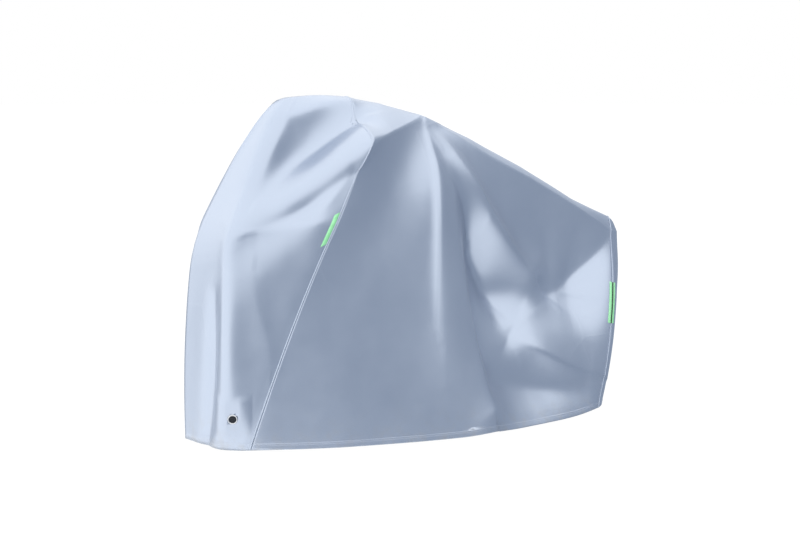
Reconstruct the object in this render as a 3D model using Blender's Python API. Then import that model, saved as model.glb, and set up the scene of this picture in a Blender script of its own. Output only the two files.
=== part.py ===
"""Fitted bicycle cover: hood, two body panels, rear panel, eyelet strips, eyelets, reflective strips.

Metres. +X runs to the rear of the cover, +Y to its far side, +Z up. The origin is the saddle rest:
the place under the top where the cloth lies on the covered saddle.
"""
import math

import bmesh
import bpy
import numpy as np
from mathutils import Matrix, Vector

# ---------------------------------------------------------------- named sizes
SADDLE_REST = (0.960, 0.0, 1.048)   # from the plumb line ahead of the hem, and from the lowest hem
CLOTH = 0.0020                      # thickness of the coated cloth
SEAM_GAP = 0.00050                  # gap between two panels at a seam
HOOD_CROWN = 1.30                   # how round the top of the hood is
RIDGE_CROWN = 1.55                  # how round the ridge behind the saddle is
EYELET_HOLE = 0.0115                # radius of the hole through an eyelet
EYELET_BARREL = 0.0014              # wall of the eyelet's tube
EYELET_FLANGE = 0.0162              # outer radius of the ring
EYELET_LIP = 0.0012                 # thickness of the ring's rim
FIT = 0.0005                        # clearance of fitted trim from the cloth
FLAT_ACROSS = (0.022, 0.060)        # cloth pressed flat round an eyelet: wholly to, and fading to
FLAT_UP = (0.050, 0.075)            # the same, up and down the cloth
STRIP_WIDTH = 0.022                 # reflective strip on the leaning seam
REAR_STRIP_WIDTH = 0.014            # each half of the reflective strip on the rear seam
STRIP_THICK = 0.0010                # thickness of a strip
STRIP_CLEAR = 0.0012                # gap under a strip on the leaning seam
REAR_STRIP_CLEAR = 0.0007           # gap under a strip on the rear seam

ROWS = 30                           # rows of the mesh from the hem to the top line
EYELET_ROWS = 4                     # rows the eyelet strip takes up from the hem
FOLD_STEPS = 33                     # points taken along the line of a fold
NEAR, FAR = -1, 1
MILLIMETRE = 0.001

# A row for each section of the cover, from the front to the rear. A section runs from the hem over
# the shoulder edge to the top line; y is the half width, and y15 to y75 are the half widths at
# 15 to 75 hundredths of the way from the hem to the edge. "edge_row" is the mesh row of the edge.
# All lengths in these two tables are in millimetres.
SECTION = ("name", "columns", "edge_row", "x_hem", "y_hem", "z_hem", "y15", "y35", "y55", "y75",
           "x_bow", "x_edge", "y_edge", "z_edge", "x_top", "z_top")
NEAR_SECTIONS = (
    ("front",      6, 17,  100,    0,   30,    0,    0,    0,    0,  -15,  138,    0,  665,  440, 1108),
    ("corner",     7, 18,  130,  206,   36,  228,  238,  236,  226,   -9,  170,  204,  703,  475, 1118),
    ("flank",      7, 21,  165,  252,   38,  267,  272,  271,  266,  -10,  409,  222,  838,  590, 1126),
    ("seam",       4, 24,  205,  275,   38,  281,  283,  281,  276,  -33,  658,  260,  982,  692, 1120),
    ("knee",       5, 24,  500,  330,   22,  321,  303,  275,  230,  -12,  800,  150, 1013,  815, 1099),
    ("saddle",     8, 24,  850,  355,    8,  338,  297,  246,  188,    0,  965,   28, 1050,  975, 1054),
    ("seat_back",  8, 24, 1060,  350,    2,  284,  194,  130,   96,    0, 1170,   48,  943, 1170,  975),
    ("rack",       7, 24, 1270,  314,   -1,  230,  178,   94,   60,    0, 1400,   55,  834, 1400,  866),
    ("wheel",      6, 24, 1450,  270,   -5,  216,  178,   94,   55,    4, 1620,   55,  714, 1620,  745),
    ("rear_seam",  2, 24, 1600,  220,    2,  200,  180,  148,  106,   12, 1782,   50,  622, 1800,  668),
    ("rear_side",  3, 24, 1680,  125,   -2,  118,  105,   88,   66,   14, 1828,   24,  612, 1808,  662),
    ("rear",       0, 24, 1712,    0,    0,    0,    0,    0,    0,   16, 1838,    0,  606, 1812,  656),
)
FAR_SECTION = ("name", "x_hem", "y_hem", "z_hem", "y15", "y35", "y55", "y75",
               "x_bow", "x_edge", "y_edge", "z_edge")
FAR_SECTIONS = (
    ("front",      100,    0,   30,    0,    0,    0,    0,  -15,  138,    0,  665),
    ("corner",     165,  125,   14,  128,  128,  124,  118,    0,  208,  108,  690),
    ("flank",      190,  222,   -7,  230,  233,  228,  213,  -10,  415,  185,  825),
    ("seam",       225,  256,  -17,  264,  274,  275,  268,  -36,  660,  250,  978),
    ("knee",       510,  300,  -16,  294,  282,  256,  211,  -12,  800,  145, 1010),
    ("saddle",     850,  330,  -10,  315,  276,  216,  150,    0,  965,   28, 1048),
    ("seat_back", 1060,  330,    0,  298,  252,  165,   85,    0, 1170,   48,  943),
    ("rack",      1270,  305,    2,  262,  245,  128,   56,    0, 1400,   55,  834),
    ("wheel",     1450,  265,    2,  230,  200,  136,   68,    4, 1620,   55,  714),
    ("rear_seam", 1600,  205,    4,  188,  160,  130,   98,   12, 1782,   50,  622),
    ("rear_side", 1680,  115,    2,  110,  100,   85,   66,   14, 1828,   24,  612),
    ("rear",      1712,    0,    0,    0,    0,    0,    0,   16, 1838,    0,  606),
)
FRONT, SEAM, REAR_SEAM, REAR = 0, 3, 9, 11

# A row for each fold. A fold runs from one place on the cloth, past a second, to a third; a place is
# a section number and a height (0 hem, 1 shoulder edge, 2 top line). "before" and "after" are its
# half widths on the front and the rear (or lower) side, "rise" is its height out of the cloth at
# the three places, negative for a hollow, and "round" goes from 1, a crisp crease, to 2, a soft one.
FOLD = ("name", "s0", "h0", "s1", "h1", "s2", "h2", "before", "after", "rise0", "rise1", "rise2",
        "round")
NEAR_FOLDS = (
    ("hood_front_ridge", 1.45, 1.72, 1.42, 1.48, 1.33, 1.18, 0.060, 0.035, 0.006, 0.014, 0.004, 1.6),
    ("hood_brow",        2.92, 1.80, 2.12, 1.755, 1.45, 1.735, 0.050, 0.042, 0.016, 0.026, 0.012, 1.5),
    ("hood_hollow",      2.97, 1.52, 2.10, 1.39, 1.50, 1.17, 0.072, 0.055, -0.032, -0.050, -0.018, 1.7),
    ("hood_edge_hollow", 2.86, 0.91, 2.20, 0.90, 1.55, 0.93, 0.034, 0.052, -0.013, -0.020, -0.007, 1.6),
    ("hood_streak",      2.78, 0.90, 2.56, 0.86, 2.39, 0.83, 0.030, 0.022, 0.004, 0.008, 0.002, 1.6),
    ("hood_level_crease", 2.95, 0.73, 2.00, 0.86, 1.25, 0.975, 0.060, 0.036, 0.003, 0.010, 0.006, 1.3),
    ("front_post",       1.00, 0.96, 1.10, 0.56, 1.18, 0.18, 0.028, 0.045, 0.006, 0.014, 0.004, 1.6),
    ("front_groove",     0.62, 0.74, 0.60, 0.40, 0.56, 0.02, 0.026, 0.026, -0.006, -0.018, -0.010, 1.6),
    ("flank_fold",       1.55, 0.72, 1.85, 0.50, 2.60, 0.29, 0.070, 0.035, 0.003, 0.007, 0.003, 1.5),
    ("saddle_plumb",     5.01, 0.985, 4.91, 0.70, 4.94, 0.34, 0.015, 0.050, 0.005, 0.014, 0.004, 1.4),
    ("saddle_side",      4.86, 0.975, 4.76, 0.84, 4.68, 0.62, 0.085, 0.060, 0.004, 0.012, 0.002, 1.6),
    ("saddle_sweep",     5.26, 0.955, 5.36, 0.45, 5.88, 0.07, 0.100, 0.075, 0.005, 0.040, 0.052, 1.6),
    ("sweep_hollow",     5.22, 0.88, 5.90, 0.64, 6.60, 0.32, 0.062, 0.048, -0.010, -0.034, -0.006, 1.7),
    ("swag_crest",       5.27, 0.985, 5.86, 0.790, 7.08, 0.60, 0.095, 0.090, 0.002, 0.072, 0.044, 1.6),
    ("swag_valley",      8.93, 0.95, 8.25, 0.70, 7.62, 0.545, 0.050, 0.060, -0.008, -0.022, -0.009, 1.5),
    ("swag_notch",       7.38, 0.82, 7.58, 0.67, 7.60, 0.55, 0.040, 0.035, -0.002, -0.006, -0.003, 1.8),
    ("belly_edge",       8.45, 0.20, 7.25, 0.275, 6.62, 0.335, 0.085, 0.060, 0.018, 0.044, 0.006, 1.3),
    ("belly_hollow",     8.35, 0.12, 7.10, 0.14, 6.10, 0.17, 0.050, 0.060, -0.008, -0.018, -0.012, 1.8),
)
FAR_FOLDS = (
    ("hood_front_ridge", 0.95, 1.86, 0.85, 1.45, 1.00, 1.05, 0.050, 0.040, 0.006, 0.012, 0.004, 1.6),
    ("hood_hollow",      2.40, 1.70, 1.90, 1.50, 1.45, 1.28, 0.050, 0.050, -0.010, -0.018, -0.008, 1.7),
    ("hood_light_band",  2.90, 1.20, 2.10, 1.16, 1.15, 1.02, 0.050, 0.040, 0.004, 0.014, 0.006, 1.5),
    ("front_post",       1.05, 0.94, 1.00, 0.55, 1.02, 0.12, 0.028, 0.034, 0.004, 0.008, 0.004, 1.6),
    ("flank_fold",       1.60, 0.70, 1.95, 0.45, 2.30, 0.20, 0.040, 0.040, 0.002, 0.012, 0.004, 1.6),
    ("saddle_plumb",     5.00, 0.97, 5.05, 0.66, 5.20, 0.28, 0.030, 0.032, 0.004, 0.018, 0.004, 1.5),
    ("saddle_sweep",     5.16, 0.92, 5.70, 0.52, 6.20, 0.16, 0.060, 0.040, 0.006, 0.022, 0.008, 1.5),
    ("swag_crest",       5.25, 0.94, 6.10, 0.66, 7.00, 0.50, 0.040, 0.050, 0.008, 0.028, 0.012, 1.6),
    ("swag_rise",        8.88, 0.95, 8.20, 0.70, 7.60, 0.54, 0.045, 0.045, 0.008, 0.020, 0.010, 1.6),
    ("belly_edge",       6.30, 0.38, 7.20, 0.33, 8.30, 0.28, 0.070, 0.040, 0.008, 0.016, 0.008, 1.5),
    ("knee_fold",        3.60, 0.90, 3.75, 0.60, 3.90, 0.22, 0.060, 0.060, 0.002, 0.012, 0.004, 1.8),
)

# place of each eyelet on the hood: section number and height
EYELET_PLACE = {NEAR: (1.48, 0.140), FAR: (1.66, 0.145)}
# heights the reflective strips run between, on the leaning seam and on the rear seam
STRIP_HEIGHTS = {"front": (0.668, 0.772), "rear": (0.470, 0.700)}

COLOURS = {
    "cloth": (0.42, 0.47, 0.56, 1.0),
    "eyelet": (0.75, 0.76, 0.78, 1.0),
    "reflective": (0.25, 0.85, 0.35, 1.0),
}


# ---------------------------------------------------------------- interpolation
def smooth_line(knots, values, at):
    """Monotone cubic through (knots, values), read at the places given.

    values holds one curve, or one curve for each place: a row for each knot, a column for each place.
    """
    knots = np.asarray(knots, float)
    at = np.clip(np.asarray(at, float), knots[0], knots[-1])
    values = np.asarray(values, float)
    if values.ndim == 1:
        values = np.repeat(values[:, None], at.size, axis=1)
    gaps = np.diff(knots)
    slopes = np.diff(values, axis=0) / gaps[:, None]
    tangents = np.zeros_like(values)
    tangents[0], tangents[-1] = slopes[0], slopes[-1]
    for k in range(1, len(values) - 1):
        low, high = 2 * gaps[k] + gaps[k - 1], gaps[k] + 2 * gaps[k - 1]
        same_way = slopes[k - 1] * slopes[k] > 0
        before = np.where(same_way, slopes[k - 1], 1.0)
        after = np.where(same_way, slopes[k], 1.0)
        tangents[k] = np.where(same_way, (low + high) / (low / before + high / after), 0.0)
    flat = at.reshape(-1)
    k = np.clip(np.searchsorted(knots, flat, side="right") - 1, 0, len(gaps) - 1)
    n = np.arange(flat.size)
    t = (flat - knots[k]) / gaps[k]
    out = (values[k, n] * (2 * t**3 - 3 * t**2 + 1) + tangents[k, n] * gaps[k] * (t**3 - 2 * t**2 + t)
           + values[k + 1, n] * (3 * t**2 - 2 * t**3) + tangents[k + 1, n] * gaps[k] * (t**3 - t**2))
    return out.reshape(at.shape)


def column(side, name):
    """One named column of the section table of a side."""
    unit = 1 if name in ("columns", "edge_row") else MILLIMETRE
    if side == FAR and name in FAR_SECTION:
        return [row[FAR_SECTION.index(name)] * unit for row in FAR_SECTIONS]
    return [row[SECTION.index(name)] * unit for row in NEAR_SECTIONS]


def across(side, name, s, crisp=False):
    """A column read at section numbers s: soft between sections, or straight behind the seam."""
    places = np.arange(len(NEAR_SECTIONS))
    soft = smooth_line(places, column(side, name), s)
    if crisp:
        return np.where(s < SEAM, soft, np.interp(s, places, column(side, name)))
    return soft


def base_point(side, s, h):
    """Point of the cloth before its folds, at section number s and height h."""
    s, h = np.broadcast_arrays(np.asarray(s, float), np.asarray(h, float))
    lower = np.clip(h, 0.0, 1.0)
    upper = np.clip(h - 1.0, 0.0, 1.0)
    x_edge, y_edge, z_edge = (across(side, n, s, crisp=True) for n in ("x_edge", "y_edge", "z_edge"))
    x_top, z_top = (across(side, n, s, crisp=True) for n in ("x_top", "z_top"))
    x_hem, y_hem, z_hem = (across(side, n, s) for n in ("x_hem", "y_hem", "z_hem"))
    widths = [y_hem] + [across(side, n, s) for n in ("y15", "y35", "y55", "y75")] + [y_edge]
    places = (0.0, 0.15, 0.35, 0.55, 0.75, 1.0)
    x = x_hem + (x_edge - x_hem) * lower + across(side, "x_bow", s) * 4 * lower * (1 - lower)
    z = z_hem + (z_edge - z_hem) * lower
    table = np.stack([np.broadcast_to(w, s.shape).reshape(-1) for w in widths])
    y = smooth_line(places, table, lower.reshape(-1)).reshape(s.shape)
    crown = np.where(s < 3.0, HOOD_CROWN, HOOD_CROWN + (RIDGE_CROWN - HOOD_CROWN) * np.clip(s - 4.0, 0, 1))
    rise = 1.0 - (1.0 - upper) ** crown
    x = x + (x_top - x_edge) * upper
    z = z + (z_top - z_edge) * rise
    y = y * (1.0 - upper)
    return np.stack([x, side * y, z], axis=-1)


# ---------------------------------------------------------------- the mesh of the whole cover
class Cover:
    """Rows and columns of the whole cover. Both sides share the front, rear and top lines."""

    def __init__(self):
        counts = [row[1] for row in NEAR_SECTIONS]
        places = [0.0]
        self.first = [0]
        for k, n in enumerate(counts[:-1]):
            places += [k + (m + 1) / n for m in range(n)]
            self.first.append(len(places) - 1)
        self.s = np.array(places)
        self.last = len(places) - 1
        edge_rows = np.interp(self.s, np.arange(len(counts)), column(NEAR, "edge_row"))
        j = np.arange(ROWS + 1)[None, :]
        e = edge_rows[:, None]
        self.h = np.where(j <= e, j / e, 1.0 + (j - e) / (ROWS - e))
        self.points = {side: self.side_points(side) for side in (NEAR, FAR)}
        self.normals = {}
        self.update_normals()
        for side, folds in ((NEAR, NEAR_FOLDS), (FAR, FAR_FOLDS)):
            self.lift(side, folds)
        self.join_lines()
        self.update_normals()
        self.eyelets = {side: self.flatten(side) for side in (NEAR, FAR)}
        self.update_normals()

    def side_points(self, side):
        """Points of one side, with the shoulder edge of the hood rounded."""
        s = self.s[:, None] + 0 * self.h
        reach = np.interp(self.s, (0, 1, 2, 3, 3.6), (0.12, 0.08, 0.06, 0.04, 0.0))[:, None]
        points = sum(
            base_point(side, s, np.clip(self.h + reach * k, 0, 2)) for k in (-1, -0.5, 0, 0.5, 1)
        ) / 5.0
        points[:, 0] = base_point(side, self.s, 0 * self.s)
        points[:, -1] = base_point(side, self.s, 0 * self.s + 2.0)
        return points

    def join_lines(self):
        """The far side takes the front, rear and top lines of the near side."""
        for index in (np.s_[0], np.s_[-1], np.s_[:, -1]):
            middle = (self.points[NEAR][index] + self.points[FAR][index]) / 2
            middle[..., 1] = 0.0
            self.points[NEAR][index] = middle
            self.points[FAR][index] = middle

    def update_normals(self):
        """Outward normals at every point, taken across the shared lines as well."""
        total = {}
        for side, p in self.points.items():
            n = np.zeros_like(p)
            a, b, c, d = p[:-1, :-1], p[1:, :-1], p[1:, 1:], p[:-1, 1:]
            face = np.cross(c - a, d - b) * (-side)
            for index in (np.s_[:-1, :-1], np.s_[1:, :-1], np.s_[1:, 1:], np.s_[:-1, 1:]):
                n[index] += face
            total[side] = n
        for index in (np.s_[0], np.s_[-1], np.s_[:, -1]):
            both = total[NEAR][index] + total[FAR][index]
            total[NEAR][index] = both
            total[FAR][index] = both
        for side, n in total.items():
            self.normals[side] = n / np.linalg.norm(n, axis=-1, keepdims=True)

    def lift(self, side, folds):
        """Raise the folds out of the cloth along its normals."""
        p = self.points[side]
        grid = np.stack([self.s[:, None] + 0 * self.h, self.h], axis=-1)
        rise = np.zeros(self.h.shape)
        for row in folds:
            f = dict(zip(FOLD, row))
            t = np.linspace(0, 1, FOLD_STEPS)
            first, middle, last = (1 - t) * (1 - 2 * t), 4 * t * (1 - t), t * (2 * t - 1)
            s, h = (first * f[k + "0"] + middle * f[k + "1"] + last * f[k + "2"] for k in "sh")
            line = base_point(side, s, h)
            near = np.linalg.norm(p[:, :, None, :] - line[None, None], axis=-1).argmin(axis=-1)
            distance = np.full(near.shape, np.inf)
            place = np.zeros(near.shape)
            for step in (-1, 0):
                first = np.clip(near + step, 0, FOLD_STEPS - 2)
                run = line[first + 1] - line[first]
                share = ((p - line[first]) * run).sum(-1) / (run * run).sum(-1)
                share = np.clip(share, 0, 1)
                gap = np.linalg.norm(p - line[first] - run * share[..., None], axis=-1)
                closer = gap < distance
                distance = np.where(closer, gap, distance)
                place = np.where(closer, first + share, place)
            along = [np.interp(place, np.arange(FOLD_STEPS), np.gradient(v)) for v in (s, h)]
            away = [grid[..., 0] - np.interp(place, np.arange(FOLD_STEPS), s),
                    grid[..., 1] - np.interp(place, np.arange(FOLD_STEPS), h)]
            hand = along[0] * away[1] - along[1] * away[0]
            t = place / (FOLD_STEPS - 1)
            width = np.where(hand > 0, f["after"], f["before"])
            height = smooth_line((0, 0.5, 1), (f["rise0"], f["rise1"], f["rise2"]), t)
            rise += height * np.exp(-((distance / width) ** f["round"]))
        self.points[side] = p + self.normals[side] * rise[..., None]

    def at(self, side, s, h):
        """Point and normal on the folded cloth, between the mesh points."""
        u = np.interp(s, self.s, np.arange(len(self.s)))
        i = int(min(u, self.last - 1))
        v = np.interp(h, self.h[i] * (1 - u + i) + self.h[i + 1] * (u - i), np.arange(ROWS + 1))
        j = int(min(v, ROWS - 1))
        fu, fv = u - i, v - j
        out = []
        for table in (self.points[side], self.normals[side]):
            out.append((table[i, j] * (1 - fu) + table[i + 1, j] * fu) * (1 - fv)
                       + (table[i, j + 1] * (1 - fu) + table[i + 1, j + 1] * fu) * fv)
        return out[0], out[1] / np.linalg.norm(out[1])

    def flatten(self, side):
        """Press the cloth flat round the eyelet, and give the eyelet's centre and axis."""
        centre, axis = self.at(side, *EYELET_PLACE[side])
        p = self.points[side]
        up = np.array((0.0, 0.0, 1.0)) - axis * axis[2]
        up /= np.linalg.norm(up)
        away = p - centre
        share = 1.0
        for way, (whole, fading) in ((np.cross(up, axis), FLAT_ACROSS), (up, FLAT_UP)):
            share = share * np.clip((fading - abs(away @ way)) / (fading - whole), 0, 1)
        close = np.linalg.norm(away, axis=-1) < 2 * FLAT_UP[1]
        p -= axis * (away @ axis * share * close)[..., None]
        return centre, axis


# ---------------------------------------------------------------- solids
def material(name):
    m = bpy.data.materials.get(name) or bpy.data.materials.new(name)
    m.use_nodes = True
    shader = m.node_tree.nodes["Principled BSDF"]
    shader.inputs["Base Color"].default_value = COLOURS[name]
    shader.inputs["Roughness"].default_value = 0.25 if name == "eyelet" else 0.45
    shader.inputs["Metallic"].default_value = 1.0 if name == "eyelet" else 0.0
    return m


def add_object(name, bm, material_name):
    """A closed mesh in the scene, moved so that the saddle rest is the origin."""
    bmesh.ops.translate(bm, verts=bm.verts, vec=-Vector(SADDLE_REST))
    mesh = bpy.data.meshes.new(name)
    bm.to_mesh(mesh)
    bm.free()
    mesh.materials.append(material(material_name))
    obj = bpy.data.objects.new(name, mesh)
    bpy.context.scene.collection.objects.link(obj)
    return obj


def halves(cover, ring):
    """The two triangles of a cell, split along the diagonal that bends the cloth less."""
    a, b, c, d = ring
    p = [cover.points[k[0]][k[1], k[2]] for k in ring]
    bends = []
    for q, r, s, t in (p, p[1:] + p[:1]):
        first, second = np.cross(r - q, s - q), np.cross(s - q, t - q)
        bends.append(first @ second / (np.linalg.norm(first) * np.linalg.norm(second) + 1e-12))
    return ((a, b, c), (a, c, d)) if bends[0] >= bends[1] else ((b, c, d), (b, d, a))


def panel(cover, name, cells):
    """Closed sheet from the cells given as (side, i, j), drawn in from its edges by half a gap."""
    def key(side, i, j):
        shared = i in (0, cover.last) or j == ROWS
        return (NEAR if shared else side, i, j)

    faces = []
    for side, i, j in cells:
        ring = [key(side, i, j), key(side, i + 1, j), key(side, i + 1, j + 1), key(side, i, j + 1)]
        faces.append(ring if side == NEAR else ring[::-1])
    sides = {}
    for ring in faces:
        for a, b in zip(ring, ring[1:] + ring[:1]):
            sides[(a, b)] = sides.get((a, b), 0) + 1
    border = {a: b for (a, b) in sides if (b, a) not in sides}
    centre_sum, count = {}, {}
    for ring in faces:
        middle = sum(cover.points[k[0]][k[1], k[2]] for k in ring) / 4
        for k in ring:
            centre_sum[k] = centre_sum.get(k, 0) + middle
            count[k] = count.get(k, 0) + 1
    bm = bmesh.new()
    outer, inner = {}, {}
    for k in centre_sum:
        p = cover.points[k[0]][k[1], k[2]].copy()
        n = cover.normals[k[0]][k[1], k[2]]
        if k in border:
            before = next(a for a, b in border.items() if b == k)
            after = border[k]
            run = cover.points[after[0]][after[1], after[2]] - cover.points[before[0]][before[1], before[2]]
            inward = np.cross(n, run)
            inward /= np.linalg.norm(inward)
            p += inward * SEAM_GAP * 0.5
        outer[k] = bm.verts.new(p)
        inner[k] = bm.verts.new(p - n * CLOTH)
    for ring in faces:
        for tri in halves(cover, ring):
            if len(set(tri)) == 3:
                bm.faces.new([outer[k] for k in tri])
                bm.faces.new([inner[k] for k in tri[::-1]])
    for a, b in border.items():
        bm.faces.new([outer[b], outer[a], inner[a]])
        bm.faces.new([outer[b], inner[a], inner[b]])
    bm.normal_update()
    return add_object(name, bm, "cloth")


def turned(name, profile, centre, axis, sides, material_name):
    """Solid of revolution of a closed (radius, height) profile about an axis."""
    turn = Vector((0, 0, 1)).rotation_difference(Vector(axis)).to_matrix().to_4x4()
    place = Matrix.Translation(Vector(centre)) @ turn
    bm = bmesh.new()
    rings = []
    for k in range(sides):
        angle = 2 * math.pi * k / sides
        rings.append([
            bm.verts.new(place @ Vector((r * math.cos(angle), r * math.sin(angle), z))) for r, z in profile
        ])
    for k in range(sides):
        a, b = rings[k], rings[(k + 1) % sides]
        for m in range(len(profile)):
            n = (m + 1) % len(profile)
            bm.faces.new([a[m], b[m], b[n], a[n]])
    bmesh.ops.recalc_face_normals(bm, faces=bm.faces)
    return add_object(name, bm, material_name)


def eyelet(cover, side, name):
    """Metal ring through the cloth: a rim outside, a rim inside and the tube between them."""
    centre, axis = cover.eyelets[side]
    tube = EYELET_HOLE + EYELET_BARREL
    top, low = FIT, -CLOTH - FIT
    profile = [
        (EYELET_HOLE, top + EYELET_LIP), (EYELET_FLANGE, top + EYELET_LIP), (EYELET_FLANGE, top),
        (tube, top), (tube, low), (EYELET_FLANGE, low), (EYELET_FLANGE, low - EYELET_LIP),
        (EYELET_HOLE, low - EYELET_LIP),
    ]
    return turned(name, profile, centre, axis, 24, "eyelet")


def punch(cover, strip, side):
    """Cut the round hole for the eyelet through its strip."""
    centre, axis = cover.eyelets[side]
    radius = EYELET_HOLE + EYELET_BARREL + FIT
    turn = Vector((0, 0, 1)).rotation_difference(Vector(axis)).to_matrix().to_4x4()
    bm = bmesh.new()
    bmesh.ops.create_cone(bm, cap_ends=True, segments=24, radius1=radius, radius2=radius, depth=0.05,
                          matrix=Matrix.Translation(Vector(centre)) @ turn)
    drill = add_object("drill", bm, "cloth")
    cut = strip.modifiers.new("hole", "BOOLEAN")
    cut.operation, cut.solver, cut.object = "DIFFERENCE", "EXACT", drill
    depsgraph = bpy.context.evaluated_depsgraph_get()
    holed = bpy.data.meshes.new_from_object(strip.evaluated_get(depsgraph))
    strip.modifiers.clear()
    strip.data = holed
    bpy.data.objects.remove(drill)


def ribbon(cover, name, side, s_line, step, heights, size, rows):
    """Thin strip lying on the cloth beside a seam. step is -1 towards the front, 1 to the rear.

    size is the width of the strip and the gap under it.
    """
    width, clear = size
    bm = bmesh.new()
    grid = []
    for k in range(rows + 1):
        h = heights[0] + (heights[1] - heights[0]) * k / rows
        edge, n0 = cover.at(side, s_line, h)
        probe, _ = cover.at(side, s_line + 0.1 * step, h)
        reach = 0.1 / np.linalg.norm(probe - edge)
        line = []
        for share in (0.0, 0.34, 0.67, 1.0):
            p, n = cover.at(side, s_line + step * reach * (0.002 + width * share), h)
            low = p + n * clear
            line.append((bm.verts.new(low + n * STRIP_THICK), bm.verts.new(low)))
        grid.append(line)
    for k in range(rows):
        for m in range(3):
            a, b, c, d = grid[k][m], grid[k][m + 1], grid[k + 1][m + 1], grid[k + 1][m]
            bm.faces.new([a[0], b[0], c[0], d[0]])
            bm.faces.new([a[1], d[1], c[1], b[1]])
    loop = ([(0, m) for m in range(3)] + [(k, 3) for k in range(rows)]
            + [(rows, m) for m in range(3, 0, -1)] + [(k, 0) for k in range(rows, 0, -1)])
    for (k, m), (q, r) in zip(loop, loop[1:] + loop[:1]):
        bm.faces.new([grid[k][m][0], grid[k][m][1], grid[q][r][1], grid[q][r][0]])
    bmesh.ops.recalc_face_normals(bm, faces=bm.faces)
    bmesh.ops.triangulate(bm, faces=bm.faces)
    return add_object(name, bm, "reflective")


# ---------------------------------------------------------------- the cover
def build():
    for obj in list(bpy.data.objects):
        bpy.data.objects.remove(obj)
    cover = Cover()
    seam, rear_seam = cover.first[SEAM], cover.first[REAR_SEAM]
    corner = cover.first[1] - 1
    both = (NEAR, FAR)
    strip = {side: [(side, i, j) for i in range(corner, seam) for j in range(EYELET_ROWS)] for side in both}
    taken = {cell for side in both for cell in strip[side]}

    def cells(sides, first, last):
        return [(side, i, j) for side in sides for i in range(first, last) for j in range(ROWS)]

    panel(cover, "hood_panel", [c for c in cells(both, 0, seam) if c not in taken])
    panel(cover, "rear_panel", cells(both, rear_seam, cover.last))
    for side, label in ((NEAR, "near"), (FAR, "far")):
        panel(cover, "body_panel_" + label, cells((side,), seam, rear_seam))
        held = panel(cover, "eyelet_strip_" + label, strip[side])
        punch(cover, held, side)
        eyelet(cover, side, "eyelet_" + label)
        ribbon(cover, "front_strip_" + label, side, SEAM, -1, STRIP_HEIGHTS["front"],
               (STRIP_WIDTH, STRIP_CLEAR), 4)
        for part, step in (("side", -1), ("back", 1)):
            ribbon(cover, "rear_strip_" + part + "_" + label, side, REAR_SEAM, step,
                   STRIP_HEIGHTS["rear"], (REAR_STRIP_WIDTH, REAR_STRIP_CLEAR), 5)


build()
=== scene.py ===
"""Fitted bicycle cover: silver coated cloth over a handlebar and a saddle.

The cloth is worked out from a table of sections, in millimetres, and a table of folds. All other
sizes are in metres. +X runs to the rear, +Y to the far side, +Z up, and the origin is the place
under the top that lies on the saddle.
"""
import math

import bpy
import numpy as np
from mathutils import Matrix, Vector, noise


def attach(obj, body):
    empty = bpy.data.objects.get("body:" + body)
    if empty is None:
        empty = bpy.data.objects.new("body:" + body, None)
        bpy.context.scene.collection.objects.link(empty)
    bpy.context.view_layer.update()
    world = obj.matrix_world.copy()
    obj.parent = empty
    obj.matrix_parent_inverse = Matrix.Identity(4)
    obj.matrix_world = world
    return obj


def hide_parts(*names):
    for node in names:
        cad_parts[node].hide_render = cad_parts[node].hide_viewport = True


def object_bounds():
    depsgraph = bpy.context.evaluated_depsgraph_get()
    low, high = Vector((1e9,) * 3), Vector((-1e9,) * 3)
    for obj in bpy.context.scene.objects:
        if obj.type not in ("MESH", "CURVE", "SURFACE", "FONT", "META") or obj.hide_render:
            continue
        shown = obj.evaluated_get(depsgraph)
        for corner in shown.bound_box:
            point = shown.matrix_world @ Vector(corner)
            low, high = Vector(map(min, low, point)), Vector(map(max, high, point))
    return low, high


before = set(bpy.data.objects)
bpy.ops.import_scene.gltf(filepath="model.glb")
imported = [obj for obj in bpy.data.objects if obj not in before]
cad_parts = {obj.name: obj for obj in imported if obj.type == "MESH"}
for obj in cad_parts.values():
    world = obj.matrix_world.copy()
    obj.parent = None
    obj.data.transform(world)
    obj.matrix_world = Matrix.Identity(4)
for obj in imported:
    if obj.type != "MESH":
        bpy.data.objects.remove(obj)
cad_low, cad_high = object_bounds()

# ---------------------------------------------------------------- named sizes
# the saddle rest, from the tables' own origin ahead of the front and at the hem's level
SADDLE_REST = np.array((0.960, 0.0, 1.048))
MILLIMETRE = 0.001
CLOTH = 0.0020                      # thickness of the coated cloth
HOOD_CROWN = 1.30                   # how round the top of the hood is
RIDGE_CROWN = 1.55                  # how round the ridge behind the saddle is
ROWS = 30                           # rows of cloth from the hem to the top line, before they are split
SPLIT = 4                           # parts each row and column is split into
FOLD_STEPS = 49                     # points taken along the line of a fold
FOLD_REACH = 3.2                    # a fold is followed out to this many of its half widths
PROBE = 0.05                        # part of a section over which the cloth beside a seam is measured
HEM_FADE = 0.05                     # distance over which marks of the hem fade out
SEAM_FADE = 0.02                    # the same, beside the seams

HEM_WIDTH = 0.020                   # turned-up hem
HEM_RISE = 0.0011                   # how far its second layer stands out
HEM_EDGE = 0.0010                   # where that step begins, above the turned-up edge
HEM_SLOPE = 0.0022                  # height over which it rises to its full
HEM_STITCH = 0.0165                 # stitch line above the hem's fold
HEM_DRAWN = 0.0006                  # how far the stitches draw the cloth in
HEM_GROOVE = 0.0016                 # half width of the groove they leave
# extra rows of cloth that carry the hem's step and groove, above its fold
HEM_ROWS = (0.0025, 0.0060, 0.0125, 0.0150, HEM_STITCH, 0.0182, HEM_WIDTH, HEM_WIDTH + 0.0018)

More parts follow.
